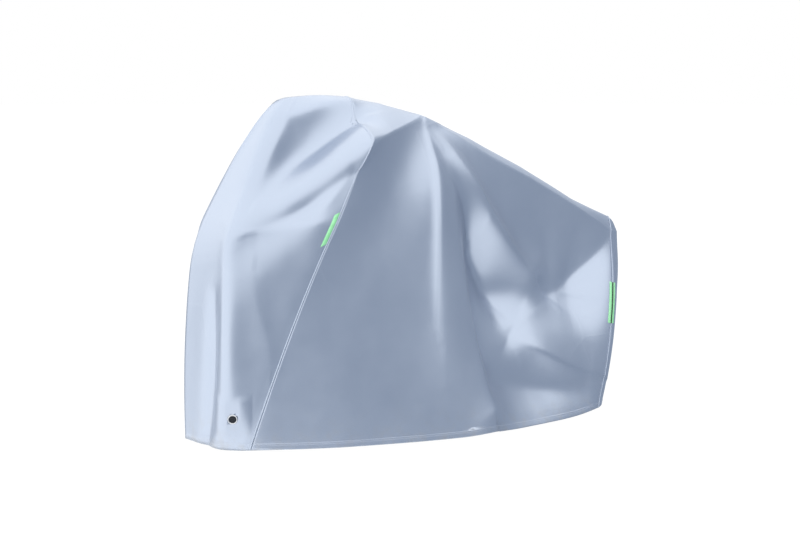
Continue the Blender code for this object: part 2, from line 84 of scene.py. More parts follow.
EYELET_HOLE = 0.0115                # radius of the open hole
EYELET_BARREL = 0.0014              # thickness of the barrel through the cloth
EYELET_FLANGE = 0.0162              # outer radius of the rolled rim and of the washer inside
EYELET_LIP = 0.0022                 # how far the rim rolls out of the cloth
EYELET_SEAT = 0.0004                # between the cloth and the metal on either face
EYELET_FOOT = 0.0001                # underside of the rim above the cloth
EYELET_ROUND = 0.0006               # rounding of the rim's foot and of the washer
EYELET_WASHER = 0.0012              # thickness of the washer
EYELET_EASE = 0.0012                # between the barrel and the edge of the cloth's hole
EYELET_CLEAR = 0.003                # cells of cloth are replaced this far past the flange
EYELET_NEAR_HEM = 0.1               # how much of the hem's marks reach the edge of the cloth's hole
EYELET_ROLL = 8                     # steps over the rolled rim
EYELET_SIDES = 48                   # sides of the ring
FLAT_ACROSS = (0.022, 0.060)        # cloth pressed flat round an eyelet: wholly to, and fading to
FLAT_UP = (0.050, 0.075)            # the same, up and down the cloth

LAP_WIDTH = 0.0065                  # the hood's folded edge where it laps the body
LAP_RISE = 0.0019                   # how far it stands out
PIPE_WIDTH = 0.0050                 # the narrow raised seam at the rear
PIPE_RISE = 0.0022                  # how far it stands out
SUNK = 0.0006                       # foot of a seam below the face of the cloth

STITCH_LENGTH = 0.0036
STITCH_GAP = 0.0016                 # between one stitch and the next
THREAD = 0.0007                     # thickness of the thread
THREAD_SIDES = 6                    # sides of the thread
# a stitch from end to end: part of its length, part of its thickness, and rise out of the cloth
STITCH_SHAPE = ((-0.5, 0.15, -0.0004), (-0.3, 0.9, 0.0), (0.0, 1.0, 0.00012), (0.3, 0.9, 0.0),
                (0.5, 0.15, -0.0004))
LAP_STITCH = LAP_WIDTH * 0.55       # stitch line of the leaning seam, ahead of the seam
PIPE_STITCH = 0.006                 # the same at the rear seam
STITCH_LIFT = 0.0002                # middle of the thread above flat cloth
LAP_STITCH_LIFT = LAP_RISE + 0.0001  # the same, on the folded edge

STRIP_WIDTH = 0.022                 # reflective strip on the leaning seam, with its bare margin
STRIP_MARGIN = 0.002                # the bare margin
STRIP_START = LAP_WIDTH + 0.0008    # from the seam to the strip's edge
REAR_STRIP_WIDTH = 0.014            # each half of the reflective strip on the rear seam
REAR_STRIP_START = 0.0026           # from the seam to the edge of each half
STRIP_THICK = 0.0010
STRIP_LIFT = 0.0001                 # underside of a strip above the cloth
STRIP_SOFT = 0.0004                 # rounding of its edges
STRIP_CROWN = 0.0002                # how much thicker it is along its middle
# the dark tape on the rear seam paints the shade of the gap between the strip's halves
TAPE_SPREAD = 1.1                   # width of the tape over the rear seam, as a share of the seam's
TAPE_RISE = 0.0007                  # how far the tape stands out of the seam

NEAR, FAR = -1, 1
SEAM, KNEE, REAR_SEAM = 3, 4, 9     # numbers of sections, counted from 0 at the front

# A row for each section of the cover, from the front to the rear. A section runs from the hem over
# the shoulder edge to the top line; y is the half width, and y15 to y75 are the half widths at
# 15 to 75 hundredths of the way from the hem to the edge. "edge_row" is the mesh row of the edge.
# All lengths in these two tables are in millimetres.
SECTION = ("name", "columns", "edge_row", "x_hem", "y_hem", "z_hem", "y15", "y35", "y55", "y75",
           "x_bow", "x_edge", "y_edge", "z_edge", "x_top", "z_top")
NEAR_SECTIONS = (
    ("front",      6, 17,  100,    0,   30,    0,    0,    0,    0,  -15,  138,    0,  665,  440, 1108),
    ("corner",     7, 18,  130,  206,   36,  228,  238,  236,  226,   -9,  170,  204,  703,  475, 1118),
    ("flank",      7, 21,  165,  252,   38,  267,  272,  271,  266,  -10,  409,  222,  838,  590, 1126),
    ("seam",       4, 24,  205,  275,   38,  281,  283,  281,  276,  -33,  658,  260,  982,  692, 1120),
    ("knee",       5, 24,  500,  330,   22,  321,  303,  275,  230,  -12,  800,  150, 1013,  815, 1099),
    ("saddle",     8, 24,  850,  355,    8,  338,  297,  246,  188,    0,  965,   28, 1050,  975, 1054),
    ("seat_back",  8, 24, 1060,  350,    2,  284,  194,  130,   96,    0, 1170,   48,  943, 1170,  975),
    ("rack",       7, 24, 1270,  314,   -1,  230,  178,   94,   60,    0, 1400,   55,  834, 1400,  866),
    ("wheel",      6, 24, 1450,  270,   -5,  216,  178,   94,   55,    4, 1620,   55,  714, 1620,  745),
    ("rear_seam",  2, 24, 1600,  220,    2,  200,  180,  148,  106,   12, 1782,   50,  622, 1800,  668),
    ("rear_side",  3, 24, 1680,  125,   -2,  118,  105,   88,   66,   14, 1828,   24,  612, 1808,  662),
    ("rear",       0, 24, 1712,    0,    0,    0,    0,    0,    0,   16, 1838,    0,  606, 1812,  656),
)
FAR_SECTION = ("name", "x_hem", "y_hem", "z_hem", "y15", "y35", "y55", "y75",
               "x_bow", "x_edge", "y_edge", "z_edge")
FAR_SECTIONS = (
    ("front",      100,    0,   30,    0,    0,    0,    0,  -15,  138,    0,  665),
    ("corner",     165,  125,   14,  128,  128,  124,  118,    0,  208,  108,  690),
    ("flank",      190,  222,   -7,  230,  233,  228,  213,  -10,  415,  185,  825),
    ("seam",       225,  256,  -17,  264,  274,  275,  268,  -36,  660,  250,  978),
    ("knee",       510,  300,  -16,  294,  282,  256,  211,  -12,  800,  145, 1010),
    ("saddle",     850,  330,  -10,  315,  276,  216,  150,    0,  965,   28, 1048),
    ("seat_back", 1060,  330,    0,  298,  252,  165,   85,    0, 1170,   48,  943),
    ("rack",      1270,  305,    2,  262,  245,  128,   56,    0, 1400,   55,  834),
    ("wheel",     1450,  265,    2,  230,  200,  136,   68,    4, 1620,   55,  714),
    ("rear_seam", 1600,  205,    4,  188,  160,  130,   98,   12, 1782,   50,  622),
    ("rear_side", 1680,  115,    2,  110,  100,   85,   66,   14, 1828,   24,  612),
    ("rear",      1712,    0,    0,    0,    0,    0,    0,   16, 1838,    0,  606),
)
# A row for each fold. A fold runs from one place on the cloth, past a second, to a third; a place is
# a section number and a height (0 hem, 1 shoulder edge, 2 top line). "before" and "after" are its
# half widths on the right and on the left of the way it runs, drawn with the rear to the right,
# "rise" is its height out of the cloth at the three places, negative for a hollow, and "round"
# goes from 1, a crisp crease, to 2, a soft one.
FOLD = ("name", "s0", "h0", "s1", "h1", "s2", "h2", "before", "after", "rise0", "rise1", "rise2",
        "round")
NEAR_FOLDS = (
    ("hood_front_ridge", 1.45, 1.72, 1.42, 1.48, 1.33, 1.18, 0.060, 0.035, 0.006, 0.014, 0.004, 1.6),
    ("hood_brow",        2.92, 1.80, 2.12, 1.755, 1.45, 1.735, 0.050, 0.042, 0.016, 0.026, 0.012, 1.5),
    ("hood_hollow",      2.97, 1.52, 2.10, 1.39, 1.50, 1.17, 0.072, 0.055, -0.032, -0.050, -0.018, 1.7),
    ("hood_edge_hollow", 2.86, 0.91, 2.20, 0.90, 1.55, 0.93, 0.034, 0.052, -0.013, -0.020, -0.007, 1.6),
    ("hood_streak",      2.78, 0.90, 2.56, 0.86, 2.39, 0.83, 0.030, 0.022, 0.004, 0.008, 0.002, 1.6),
    ("hood_level_crease", 2.95, 0.73, 2.00, 0.86, 1.25, 0.975, 0.060, 0.036, 0.003, 0.010, 0.006, 1.3),
    ("front_post",       1.00, 0.96, 1.10, 0.56, 1.18, 0.18, 0.028, 0.045, 0.006, 0.014, 0.004, 1.6),
    ("front_groove",     0.62, 0.74, 0.60, 0.40, 0.56, 0.02, 0.026, 0.026, -0.006, -0.018, -0.010, 1.6),
    ("flank_fold",       1.55, 0.72, 1.85, 0.50, 2.60, 0.29, 0.070, 0.035, 0.003, 0.007, 0.003, 1.5),
    ("saddle_plumb",     5.01, 0.985, 4.91, 0.70, 4.94, 0.34, 0.015, 0.050, 0.005, 0.014, 0.004, 1.4),
    ("saddle_side",      4.86, 0.975, 4.76, 0.84, 4.68, 0.62, 0.085, 0.060, 0.004, 0.012, 0.002, 1.6),
    ("saddle_sweep",     5.26, 0.955, 5.36, 0.45, 5.88, 0.07, 0.100, 0.075, 0.005, 0.040, 0.052, 1.6),
    ("sweep_hollow",     5.22, 0.88, 5.90, 0.64, 6.60, 0.32, 0.062, 0.048, -0.010, -0.034, -0.006, 1.7),
    ("swag_crest",       5.27, 0.985, 5.86, 0.790, 7.08, 0.60, 0.095, 0.090, 0.002, 0.072, 0.044, 1.6),
    ("swag_valley",      8.93, 0.95, 8.25, 0.70, 7.62, 0.545, 0.050, 0.060, -0.008, -0.022, -0.009, 1.5),
    ("swag_notch",       7.38, 0.82, 7.58, 0.67, 7.60, 0.55, 0.040, 0.035, -0.002, -0.006, -0.003, 1.8),
    ("belly_edge",       8.45, 0.20, 7.25, 0.275, 6.62, 0.335, 0.085, 0.060, 0.018, 0.044, 0.006, 1.3),
    ("belly_hollow",     8.35, 0.12, 7.10, 0.14, 6.10, 0.17, 0.050, 0.060, -0.008, -0.018, -0.012, 1.8),
)
FAR_FOLDS = (
    ("hood_front_ridge", 0.95, 1.86, 0.85, 1.45, 1.00, 1.05, 0.050, 0.040, 0.006, 0.012, 0.004, 1.6),
    ("hood_hollow",      2.40, 1.70, 1.90, 1.50, 1.45, 1.28, 0.050, 0.050, -0.010, -0.018, -0.008, 1.7),
    ("hood_light_band",  2.90, 1.20, 2.10, 1.16, 1.15, 1.02, 0.050, 0.040, 0.004, 0.014, 0.006, 1.5),
    ("front_post",       1.05, 0.94, 1.00, 0.55, 1.02, 0.12, 0.028, 0.034, 0.004, 0.008, 0.004, 1.6),
    ("flank_fold",       1.60, 0.70, 1.95, 0.45, 2.30, 0.20, 0.040, 0.040, 0.002, 0.012, 0.004, 1.6),
    ("saddle_plumb",     5.00, 0.97, 5.05, 0.66, 5.20, 0.28, 0.030, 0.032, 0.004, 0.018, 0.004, 1.5),
    ("saddle_sweep",     5.16, 0.92, 5.70, 0.52, 6.20, 0.16, 0.060, 0.040, 0.006, 0.022, 0.008, 1.5),
    ("swag_crest",       5.25, 0.94, 6.10, 0.66, 7.00, 0.50, 0.040, 0.050, 0.008, 0.028, 0.012, 1.6),
    ("swag_rise",        8.88, 0.95, 8.20, 0.70, 7.60, 0.54, 0.045, 0.045, 0.008, 0.020, 0.010, 1.6),
    ("belly_edge",       6.30, 0.38, 7.20, 0.33, 8.30, 0.28, 0.070, 0.040, 0.008, 0.016, 0.008, 1.5),
    ("knee_fold",        3.60, 0.90, 3.75, 0.60, 3.90, 0.22, 0.060, 0.060, 0.002, 0.012, 0.004, 1.8),
)

# Creases that the solids leave out, in the same columns. The far side has none.
NEAR_CREASES = (
    ("crest_line",       5.80, 0.82, 6.42, 0.70, 7.18, 0.585, 0.085, 0.035, 0.004, 0.020, 0.014, 1.2),
    ("swag_dish",        5.98, 0.62, 6.40, 0.500, 6.72, 0.38, 0.045, 0.150, -0.012, -0.036, -0.001, 1.4),
    ("notch_hollow",     7.05, 0.60, 7.42, 0.565, 7.80, 0.560, 0.085, 0.045, -0.004, -0.016, -0.006, 1.5),
)
FOLDS = {NEAR: NEAR_FOLDS + NEAR_CREASES, FAR: FAR_FOLDS}
# Slow unevenness of the cloth: height, waves a metre, and where in the noise it starts.
WANDER = ((0.0016, 5.5, 3.0), (0.0007, 14.0, 11.0))
WANDER_UPRIGHT = 0.45               # waves up and down, as a share of those along the cover

# heights of the section columns y_hem, y15 to y75 and y_edge
WIDTH_HEIGHTS = (0.0, 0.15, 0.35, 0.55, 0.75, 1.0)
# how far in height the shoulder edge is rounded, at some section numbers
ROUNDED_AT = (0, 1, 2, 3, 3.6)
ROUNDED_BY = (0.12, 0.08, 0.06, 0.04, 0.0)
# place of each eyelet on the hood: section number and height
EYELET_PLACE = {NEAR: (1.48, 0.140), FAR: (1.66, 0.145)}
# heights that each band and stitch line runs between, and the steps it is built in
RUNS = {
    "lap": ((0.0, 1.995), 260),
    "pipe": ((0.0, 1.99), 140),
    "front strip": ((0.668, 0.772), 24),
    "rear strip": ((0.470, 0.700), 30),
    "lap stitches": ((0.01, 1.98), 240),
    "pipe stitches": ((0.01, 1.95), 140),
}
# section numbers that the hem's stitches run between, and their steps
HEM_RUN = ((0.02, 10.98), 700)


# ---------------------------------------------------------------- interpolation
def smooth_line(knots, values, at):
    """Monotone cubic through (knots, values), read at the places given.

    values holds one curve, or one curve for each place: a row for each knot, a column for each place.
    """
    knots = np.asarray(knots, float)
    at = np.clip(np.asarray(at, float), knots[0], knots[-1])
    values = np.asarray(values, float)
    if values.ndim == 1:
        values = np.repeat(values[:, None], at.size, axis=1)
    gaps = np.diff(knots)
    slopes = np.diff(values, axis=0) / gaps[:, None]
    tangents = np.zeros_like(values)
    tangents[0], tangents[-1] = slopes[0], slopes[-1]
    for k in range(1, len(values) - 1):
        low, high = 2 * gaps[k] + gaps[k - 1], gaps[k] + 2 * gaps[k - 1]
        same_way = slopes[k - 1] * slopes[k] > 0
        before = np.where(same_way, slopes[k - 1], 1.0)
        after = np.where(same_way, slopes[k], 1.0)
        tangents[k] = np.where(same_way, (low + high) / (low / before + high / after), 0.0)
    flat = at.reshape(-1)
    k = np.clip(np.searchsorted(knots, flat, side="right") - 1, 0, len(gaps) - 1)
    n = np.arange(flat.size)
    t = (flat - knots[k]) / gaps[k]
    out = (values[k, n] * (2 * t**3 - 3 * t**2 + 1) + tangents[k, n] * gaps[k] * (t**3 - 2 * t**2 + t)
           + values[k + 1, n] * (3 * t**2 - 2 * t**3) + tangents[k + 1, n] * gaps[k] * (t**3 - t**2))
    return out.reshape(at.shape)


def column(side, name):
    """One named column of the section table of a side."""
    scale = 1 if name in ("columns", "edge_row") else MILLIMETRE
    if side == FAR and name in FAR_SECTION:
        return [row[FAR_SECTION.index(name)] * scale for row in FAR_SECTIONS]
    return [row[SECTION.index(name)] * scale for row in NEAR_SECTIONS]


def across(side, name, s, crisp=False):
    """A column read at section numbers s: soft between sections, or straight behind the seam."""
    places = np.arange(len(NEAR_SECTIONS))
    soft = smooth_line(places, column(side, name), s)
    if crisp:
        return np.where(s < SEAM, soft, np.interp(s, places, column(side, name)))
    return soft


def base_point(side, s, h):
    """Point of the cloth before its folds, at section number s and height h."""
    s, h = np.broadcast_arrays(np.asarray(s, float), np.asarray(h, float))
    lower = np.clip(h, 0.0, 1.0)
    upper = np.clip(h - 1.0, 0.0, 1.0)
    x_edge, y_edge, z_edge = (across(side, n, s, crisp=True) for n in ("x_edge", "y_edge", "z_edge"))
    x_top, z_top = (across(side, n, s, crisp=True) for n in ("x_top", "z_top"))
    x_hem, y_hem, z_hem = (across(side, n, s) for n in ("x_hem", "y_hem", "z_hem"))
    widths = [y_hem] + [across(side, n, s) for n in ("y15", "y35", "y55", "y75")] + [y_edge]
    x = x_hem + (x_edge - x_hem) * lower + across(side, "x_bow", s) * 4 * lower * (1 - lower)
    z = z_hem + (z_edge - z_hem) * lower
    table = np.stack([np.broadcast_to(w, s.shape).reshape(-1) for w in widths])
    y = smooth_line(WIDTH_HEIGHTS, table, lower.reshape(-1)).reshape(s.shape)
    crown = HOOD_CROWN + (RIDGE_CROWN - HOOD_CROWN) * np.clip(s - KNEE, 0, 1)
    rise = 1.0 - (1.0 - upper) ** crown
    x = x + (x_top - x_edge) * upper
    z = z + (z_top - z_edge) * rise
    y = y * (1.0 - upper)
    return np.stack([x, side * y, z], axis=-1)


def slant_length(side, s):
    """Straight distance from the hem up to the shoulder edge, at section numbers s."""
    low = base_point(side, s, 0 * s)
    return np.linalg.norm(base_point(side, s, 0 * s + 1.0) - low, axis=-1)


def fold_line(side, fold):
    """Section numbers, heights and points along a fold, on a smooth curve through its three places."""
    t = np.linspace(0, 1, FOLD_STEPS)
    first, middle, last = (1 - t) * (1 - 2 * t), 4 * t * (1 - t), t * (2 * t - 1)
    s, h = (first * fold[k + "0"] + middle * fold[k + "1"] + last * fold[k + "2"] for k in "sh")
    return s, h, base_point(side, s, h)


def nearest_on_line(line, points):
    """Distance of each point from a line of points, and at which step of the line it is nearest."""
    near = np.linalg.norm(points[:, None, :] - line[None], axis=-1).argmin(axis=-1)
    distance = np.full(near.shape, np.inf)
    place = np.zeros(near.shape)
    for step in (-1, 0):
        start = np.clip(near + step, 0, len(line) - 2)
        run = line[start + 1] - line[start]
        share = np.clip(((points - line[start]) * run).sum(-1) / (run * run).sum(-1), 0, 1)
        gap = np.linalg.norm(points - line[start] - run * share[:, None], axis=-1)
        closer = gap < distance
        distance = np.where(closer, gap, distance)
        place = np.where(closer, start + share, place)
    return distance, place


def wander(points):
    """Slow unevenness of hanging cloth, under two millimetres."""
    out = np.zeros(points.shape[:2])
    for height, scale, offset in WANDER:
        start = Vector((offset, 0, 0))
        for i in range(points.shape[0]):
            for j in range(points.shape[1]):
                place = Vector(points[i, j]) * scale
                place.z *= WANDER_UPRIGHT
                out[i, j] += height * noise.noise(place + start)
    return out


# ---------------------------------------------------------------- the cloth of the whole cover
def unit(v):
    """Vectors brought to a length of one."""
    return v / np.linalg.norm(v, axis=-1, keepdims=True)


class Cover:
    """Rows and columns of the whole cover. Both sides share the front, rear and top lines."""

    def __init__(self):
        """Lay out the columns and rows, raise the folds, press the eyelets flat and thicken the hem."""
        counts = [n * SPLIT for n in column(NEAR, "columns")]
        places = [0.0]
        self.first = [0]
        for k, n in enumerate(counts[:-1]):
            places += [k + (m + 1) / n for m in range(n)]
            self.first.append(len(places) - 1)
        self.s = np.array(places)
        self.last = len(places) - 1
        self.rows = ROWS * SPLIT
        edge_rows = SPLIT * np.interp(self.s, np.arange(len(counts)), column(NEAR, "edge_row"))
        row = np.arange(self.rows + 1)[None, :]
        edge = edge_rows[:, None]
        self.h = np.where(row <= edge, row / edge, 1.0 + (row - edge) / (self.rows - edge))
        self.add_hem_rows()
        self.points = {side: self.side_points(side) for side in (NEAR, FAR)}
        self.normals = {}
        self.update_normals()
        for side in (NEAR, FAR):
            self.points[side] = self.points[side] + self.normals[side] * self.rise(side)[..., None]
        self.join_lines()
        self.update_normals()
        self.eyelets = {side: self.flatten(side) for side in (NEAR, FAR)}
        self.update_normals()
        self.thicken_hem()
        self.update_normals()

    def add_hem_rows(self):
        """Extra rows that carry the hem's stitch line and its step."""
        extra = np.array(HEM_ROWS)[None, :] / slant_length(NEAR, self.s)[:, None]
        self.h = np.sort(np.hstack([self.h, extra]), axis=1)
        self.rows += len(HEM_ROWS)

    def side_points(self, side):
        """Points of one side, averaged up and down so that the shoulder edge is rounded."""
        s = self.s[:, None] + 0 * self.h
        reach = np.interp(self.s, ROUNDED_AT, ROUNDED_BY)[:, None]
        parts = (-1, -0.5, 0, 0.5, 1)
        points = sum(base_point(side, s, np.clip(self.h + reach * k, 0, 2)) for k in parts) / len(parts)
        points[:, 0] = base_point(side, self.s, 0 * self.s)
        points[:, -1] = base_point(side, self.s, 0 * self.s + 2.0)
        return points

    def join_lines(self):
        """The far side takes the front, rear and top lines of the near side."""
        for index in (np.s_[0], np.s_[-1], np.s_[:, -1]):
            middle = (self.points[NEAR][index] + self.points[FAR][index]) / 2
            middle[..., 1] = 0.0
            self.points[NEAR][index] = middle
            self.points[FAR][index] = middle

    def update_normals(self):
        """Outward normals at every point, taken across the shared lines as well."""
        total = {}
        for side, p in self.points.items():
            n = np.zeros_like(p)
            a, b, c, d = p[:-1, :-1], p[1:, :-1], p[1:, 1:], p[:-1, 1:]
            face = np.cross(c - a, d - b) * (-side)
            for index in (np.s_[:-1, :-1], np.s_[1:, :-1], np.s_[1:, 1:], np.s_[:-1, 1:]):
                n[index] += face
            total[side] = n
        for index in (np.s_[0], np.s_[-1], np.s_[:, -1]):
            both = total[NEAR][index] + total[FAR][index]
            total[NEAR][index] = both
            total[FAR][index] = both
        for side, n in total.items():
            self.normals[side] = unit(n)

    def rise(self, side):
        """How far each point stands out of the plain cloth, from its folds and unevenness."""
        p = self.points[side]
        grid = (self.s[:, None] + 0 * self.h, self.h)
        steps = np.arange(FOLD_STEPS)
        rise = np.zeros(self.h.shape)
        for row in FOLDS[side]:
            fold = dict(zip(FOLD, row))
            s, h, line = fold_line(side, fold)
            reach = FOLD_REACH * max(fold["before"], fold["after"])
            close = np.all((p > line.min(0) - reach) & (p < line.max(0) + reach), axis=-1)
            distance, place = nearest_on_line(line, p[close])
            along = [np.interp(place, steps, np.gradient(v)) for v in (s, h)]
            away = [g[close] - np.interp(place, steps, v) for g, v in zip(grid, (s, h))]
            hand = along[0] * away[1] - along[1] * away[0]
            width = np.where(hand > 0, fold["after"], fold["before"])
            rises = (fold["rise0"], fold["rise1"], fold["rise2"])
            height = smooth_line((0, 0.5, 1), rises, place / (FOLD_STEPS - 1))
            rise[close] += height * np.exp(-((distance / width) ** fold["round"]))
        return rise + wander(p)

    def at(self, side, s, h):
        """Point and normal on the folded cloth, between the mesh points."""
        u = float(np.interp(s, self.s, np.arange(len(self.s))))
        i = int(min(u, self.last - 1))
        levels = self.h[i] * (1 - u + i) + self.h[i + 1] * (u - i)
        v = float(np.interp(h, levels, np.arange(self.rows + 1)))
        j = int(min(v, self.rows - 1))
        fu, fv = u - i, v - j
        out = []
        for table in (self.points[side], self.normals[side]):
            out.append((table[i, j] * (1 - fu) + table[i + 1, j] * fu) * (1 - fv)
                       + (table[i, j + 1] * (1 - fu) + table[i + 1, j + 1] * fu) * fv)
        return out[0], unit(out[1])

    def flatten(self, side):
        """Press the cloth flat round the eyelet, and give the eyelet's centre and axis."""
        centre, axis = self.at(side, *EYELET_PLACE[side])
        p = self.points[side]
        up = np.array((0.0, 0.0, 1.0)) - axis * axis[2]
        up /= np.linalg.norm(up)
        away = p - centre
        share = 1.0
        for way, (whole, fading) in ((np.cross(up, axis), FLAT_ACROSS), (up, FLAT_UP)):
            share = share * np.clip((fading - abs(away @ way)) / (fading - whole), 0, 1)
        close = np.linalg.norm(away, axis=-1) < 2 * FLAT_UP[1]
        p -= axis * (away @ axis * share * close)[..., None]
        return centre, axis

    def from_hem(self, side):
        """Distance of each point above the hem's fold, along the cloth."""
        steps = np.linalg.norm(np.diff(self.points[side], axis=1), axis=-1)
        return np.hstack([np.zeros((len(self.s), 1)), np.cumsum(steps, axis=1)])

    def thicken_hem(self):
        """Stand the hem out by its second layer, a little drawn in along its stitches."""
        for side in (NEAR, FAR):
            up = self.from_hem(side)
            step = np.clip((HEM_WIDTH + HEM_EDGE - up) / HEM_SLOPE, 0, 1)
            drawn = np.exp(-(((up - HEM_STITCH) / HEM_GROOVE) ** 2))
            self.points[side] += self.normals[side] * (HEM_RISE * step - HEM_DRAWN * drawn)[..., None]


# ---------------------------------------------------------------- shader node groups
def new_group(name, inputs, outputs):
    """Empty shader group with named sockets: inputs are (name, kind, value), outputs (name, kind)."""
    group = bpy.data.node_groups.new(name, "ShaderNodeTree")
    for label, kind, value in inputs:
        socket = group.interface.new_socket(label, in_out="INPUT", socket_type="NodeSocket" + kind)
        if value is not None:
            socket.default_value = value
    for label, kind in outputs:
        group.interface.new_socket(label, in_out="OUTPUT", socket_type="NodeSocket" + kind)
    return group, group.nodes.new("NodeGroupInput"), group.nodes.new("NodeGroupOutput")


def add(tree, kind, **settings):
    """New node of a kind, with its own settings, such as its operation."""
    made = tree.nodes.new("ShaderNode" + kind)
    for label, value in settings.items():
        setattr(made, label, value)
    return made


def feed(tree, target, value):
    """Link a socket into an input, or set the input to a plain value."""
    if isinstance(value, bpy.types.NodeSocket):
        tree.links.new(value, target)
    else:
        target.default_value = value


def maths(tree, operation, *values, clamp=False):
    """A sum or other operation on values or sockets."""
    made = add(tree, "Math", operation=operation, use_clamp=clamp)
    for k, value in enumerate(values):
        feed(tree, made.inputs[k], value)
    return made.outputs[0]


def ramp(tree, value, low, high, to_low=0.0, to_high=1.0):
    """A value read between two limits, smoothly."""
    made = add(tree, "MapRange", interpolation_type="SMOOTHSTEP")
    for k, v in enumerate((value, low, high, to_low, to_high)):
        feed(tree, made.inputs[k], v)
    return made.outputs[0]


def mixed(tree, share, first, second):
    """Colour between two others: the first at a share of 0, the second at 1."""
    made = add(tree, "Mix", data_type="RGBA")
    feed(tree, made.inputs[0], share)
    feed(tree, made.inputs[6], first)
    feed(tree, made.inputs[7], second)
    return made.outputs[2]


def noise_node(tree, vector, scale, detail=2.0, roughness=0.5, distortion=0.0):
    """Soft noise from 0 to 1, with scale in waves a metre."""
    made = add(tree, "TexNoise")
    for label, value in (("Vector", vector), ("Scale", scale), ("Detail", detail),
                         ("Roughness", roughness), ("Distortion", distortion)):
        feed(tree, made.inputs[label], value)
    return made.outputs["Fac"]


def woven_threads():
    """Plain weave: threads over and under, from a vector in metres on the cut cloth."""
    group, into, out = new_group("woven threads", (
        ("Vector", "Vector", None), ("Pitch", "Float", 0.0006), ("Relief", "Float", 1.0),
    ), (("Height", "Float"), ("Gap", "Float")))
    parts = add(group, "SeparateXYZ")
    group.links.new(into.outputs["Vector"], parts.inputs[0])
    waves = []
    for k in (0, 1):
        turns = maths(group, "DIVIDE", parts.outputs[k], into.outputs["Pitch"])
        waves.append(maths(group, "SINE", maths(group, "MULTIPLY", turns, math.pi)))
    cross = maths(group, "MULTIPLY", waves[0], waves[1])
    ridge = maths(group, "ABSOLUTE", cross)
    height = maths(group, "MULTIPLY", ridge, into.outputs["Relief"])
    group.links.new(height, out.inputs["Height"])
    # Gap marks where the threads dip; the cloth materials darken it there as painted shade between the
    # threads
    group.links.new(ramp(group, ridge, 0.25, 0.0), out.inputs["Gap"])
    return group


def coating_clouds():
    """Slow changes in the coating, where it is a little thicker or thinner."""
    group, into, out = new_group("coating clouds", (
        ("Vector", "Vector", None), ("Scale", "Float", 6.0), ("Contrast", "Float", 1.0),
    ), (("Cloud", "Float"),))
    wide = noise_node(group, into.outputs["Vector"], into.outputs["Scale"], 3.0, 0.55)
    fine_scale = maths(group, "MULTIPLY", into.outputs["Scale"], 7.0)
    fine = noise_node(group, into.outputs["Vector"], fine_scale, 2.0, 0.5)
    wide_share = maths(group, "MULTIPLY", wide, 0.75)
    fine_share = maths(group, "MULTIPLY", fine, 0.25)
    both = maths(group, "ADD", wide_share, fine_share)
    centred = maths(group, "SUBTRACT", both, 0.5)
    cloud = maths(group, "MULTIPLY_ADD", centred, into.outputs["Contrast"], 0.5, clamp=True)
    group.links.new(cloud, out.inputs["Cloud"])
    return group


def packing_creases():
    """Faint net of soft lines that folding the cover away leaves in its cloth."""
    group, into, out = new_group("packing creases", (
        ("Vector", "Vector", None), ("Scale", "Float", 5.0), ("Line", "Float", 0.05),
    ), (("Height", "Float"), ("Line", "Float")))
    warp = add(group, "TexNoise")
    feed(group, warp.inputs["Vector"], into.outputs["Vector"])
    feed(group, warp.inputs["Scale"], 3.0)
    shift = add(group, "VectorMath", operation="SCALE")
    group.links.new(warp.outputs["Color"], shift.inputs[0])
    shift.inputs["Scale"].default_value = 0.16
    moved = add(group, "VectorMath", operation="ADD")
    group.links.new(into.outputs["Vector"], moved.inputs[0])
    group.links.new(shift.outputs[0], moved.inputs[1])
    cells = add(group, "TexVoronoi", feature="DISTANCE_TO_EDGE")
    group.links.new(moved.outputs[0], cells.inputs["Vector"])
    group.links.new(into.outputs["Scale"], cells.inputs["Scale"])
    line = ramp(group, cells.outputs["Distance"], into.outputs["Line"], 0.0)
    patch = ramp(group, noise_node(group, into.outputs["Vector"], 2.3, 1.0), 0.42, 0.66)
    kept = maths(group, "MULTIPLY", line, patch)
    group.links.new(kept, out.inputs["Line"])
    group.links.new(kept, out.inputs["Height"])
    return group


def edge_pucker():
    """Small ripples beside a sewn edge, strongest on the edge itself."""
    group, into, out = new_group("edge pucker", (
        ("Vector", "Vector", None), ("Near Edge", "Float", 0.0), ("Pitch", "Float", 0.012),
    ), (("Height", "Float"),))
    waves = maths(group, "DIVIDE", 1.0, into.outputs["Pitch"])
    ripple = noise_node(group, into.outputs["Vector"], waves, 1.0, 0.5, 0.3)
    near = maths(group, "POWER", into.outputs["Near Edge"], 2.0)
    group.links.new(maths(group, "MULTIPLY", ripple, near), out.inputs["Height"])
    return group


def settled_dust():
    """Dust and splash marks near the hem, broken up so that they fade out unevenly."""
    group, into, out = new_group("settled dust", (
        ("Vector", "Vector", None), ("Near Hem", "Float", 0.0), ("Amount", "Float", 0.5),
    ), (("Mask", "Float"),))
    broken = noise_node(group, into.outputs["Vector"], 26.0, 5.0, 0.65)
    mask = maths(group, "MULTIPLY", ramp(group, broken, 0.42, 0.70), into.outputs["Near Hem"])
    group.links.new(maths(group, "MULTIPLY", mask, into.outputs["Amount"], clamp=True), out.inputs["Mask"])
    return group


def handling_wear():
    """Fine rubbed specks and short scratches on a hard finish."""
    group, into, out = new_group("handling wear", (
        ("Vector", "Vector", None), ("Scale", "Float", 60.0), ("Amount", "Float", 0.5),
    ), (("Mask", "Float"),))
    specks = noise_node(group, into.outputs["Vector"], into.outputs["Scale"], 6.0, 0.7)
    mask = maths(group, "MULTIPLY", ramp(group, specks, 0.52, 0.68), into.outputs["Amount"], clamp=True)
    group.links.new(mask, out.inputs["Mask"])
    return group


WEAVE, CLOUDS, CREASE_NET = woven_threads(), coating_clouds(), packing_creases()
PUCKER, DUST, WEAR = edge_pucker(), settled_dust(), handling_wear()


def use(tree, group, **values):
    """Place a group in a material, with its inputs named with underscores for spaces."""
    made = tree.nodes.new("ShaderNodeGroup")
    made.node_tree = group
    for label, value in values.items():
        feed(tree, made.inputs[label.replace("_", " ")], value)
    return made


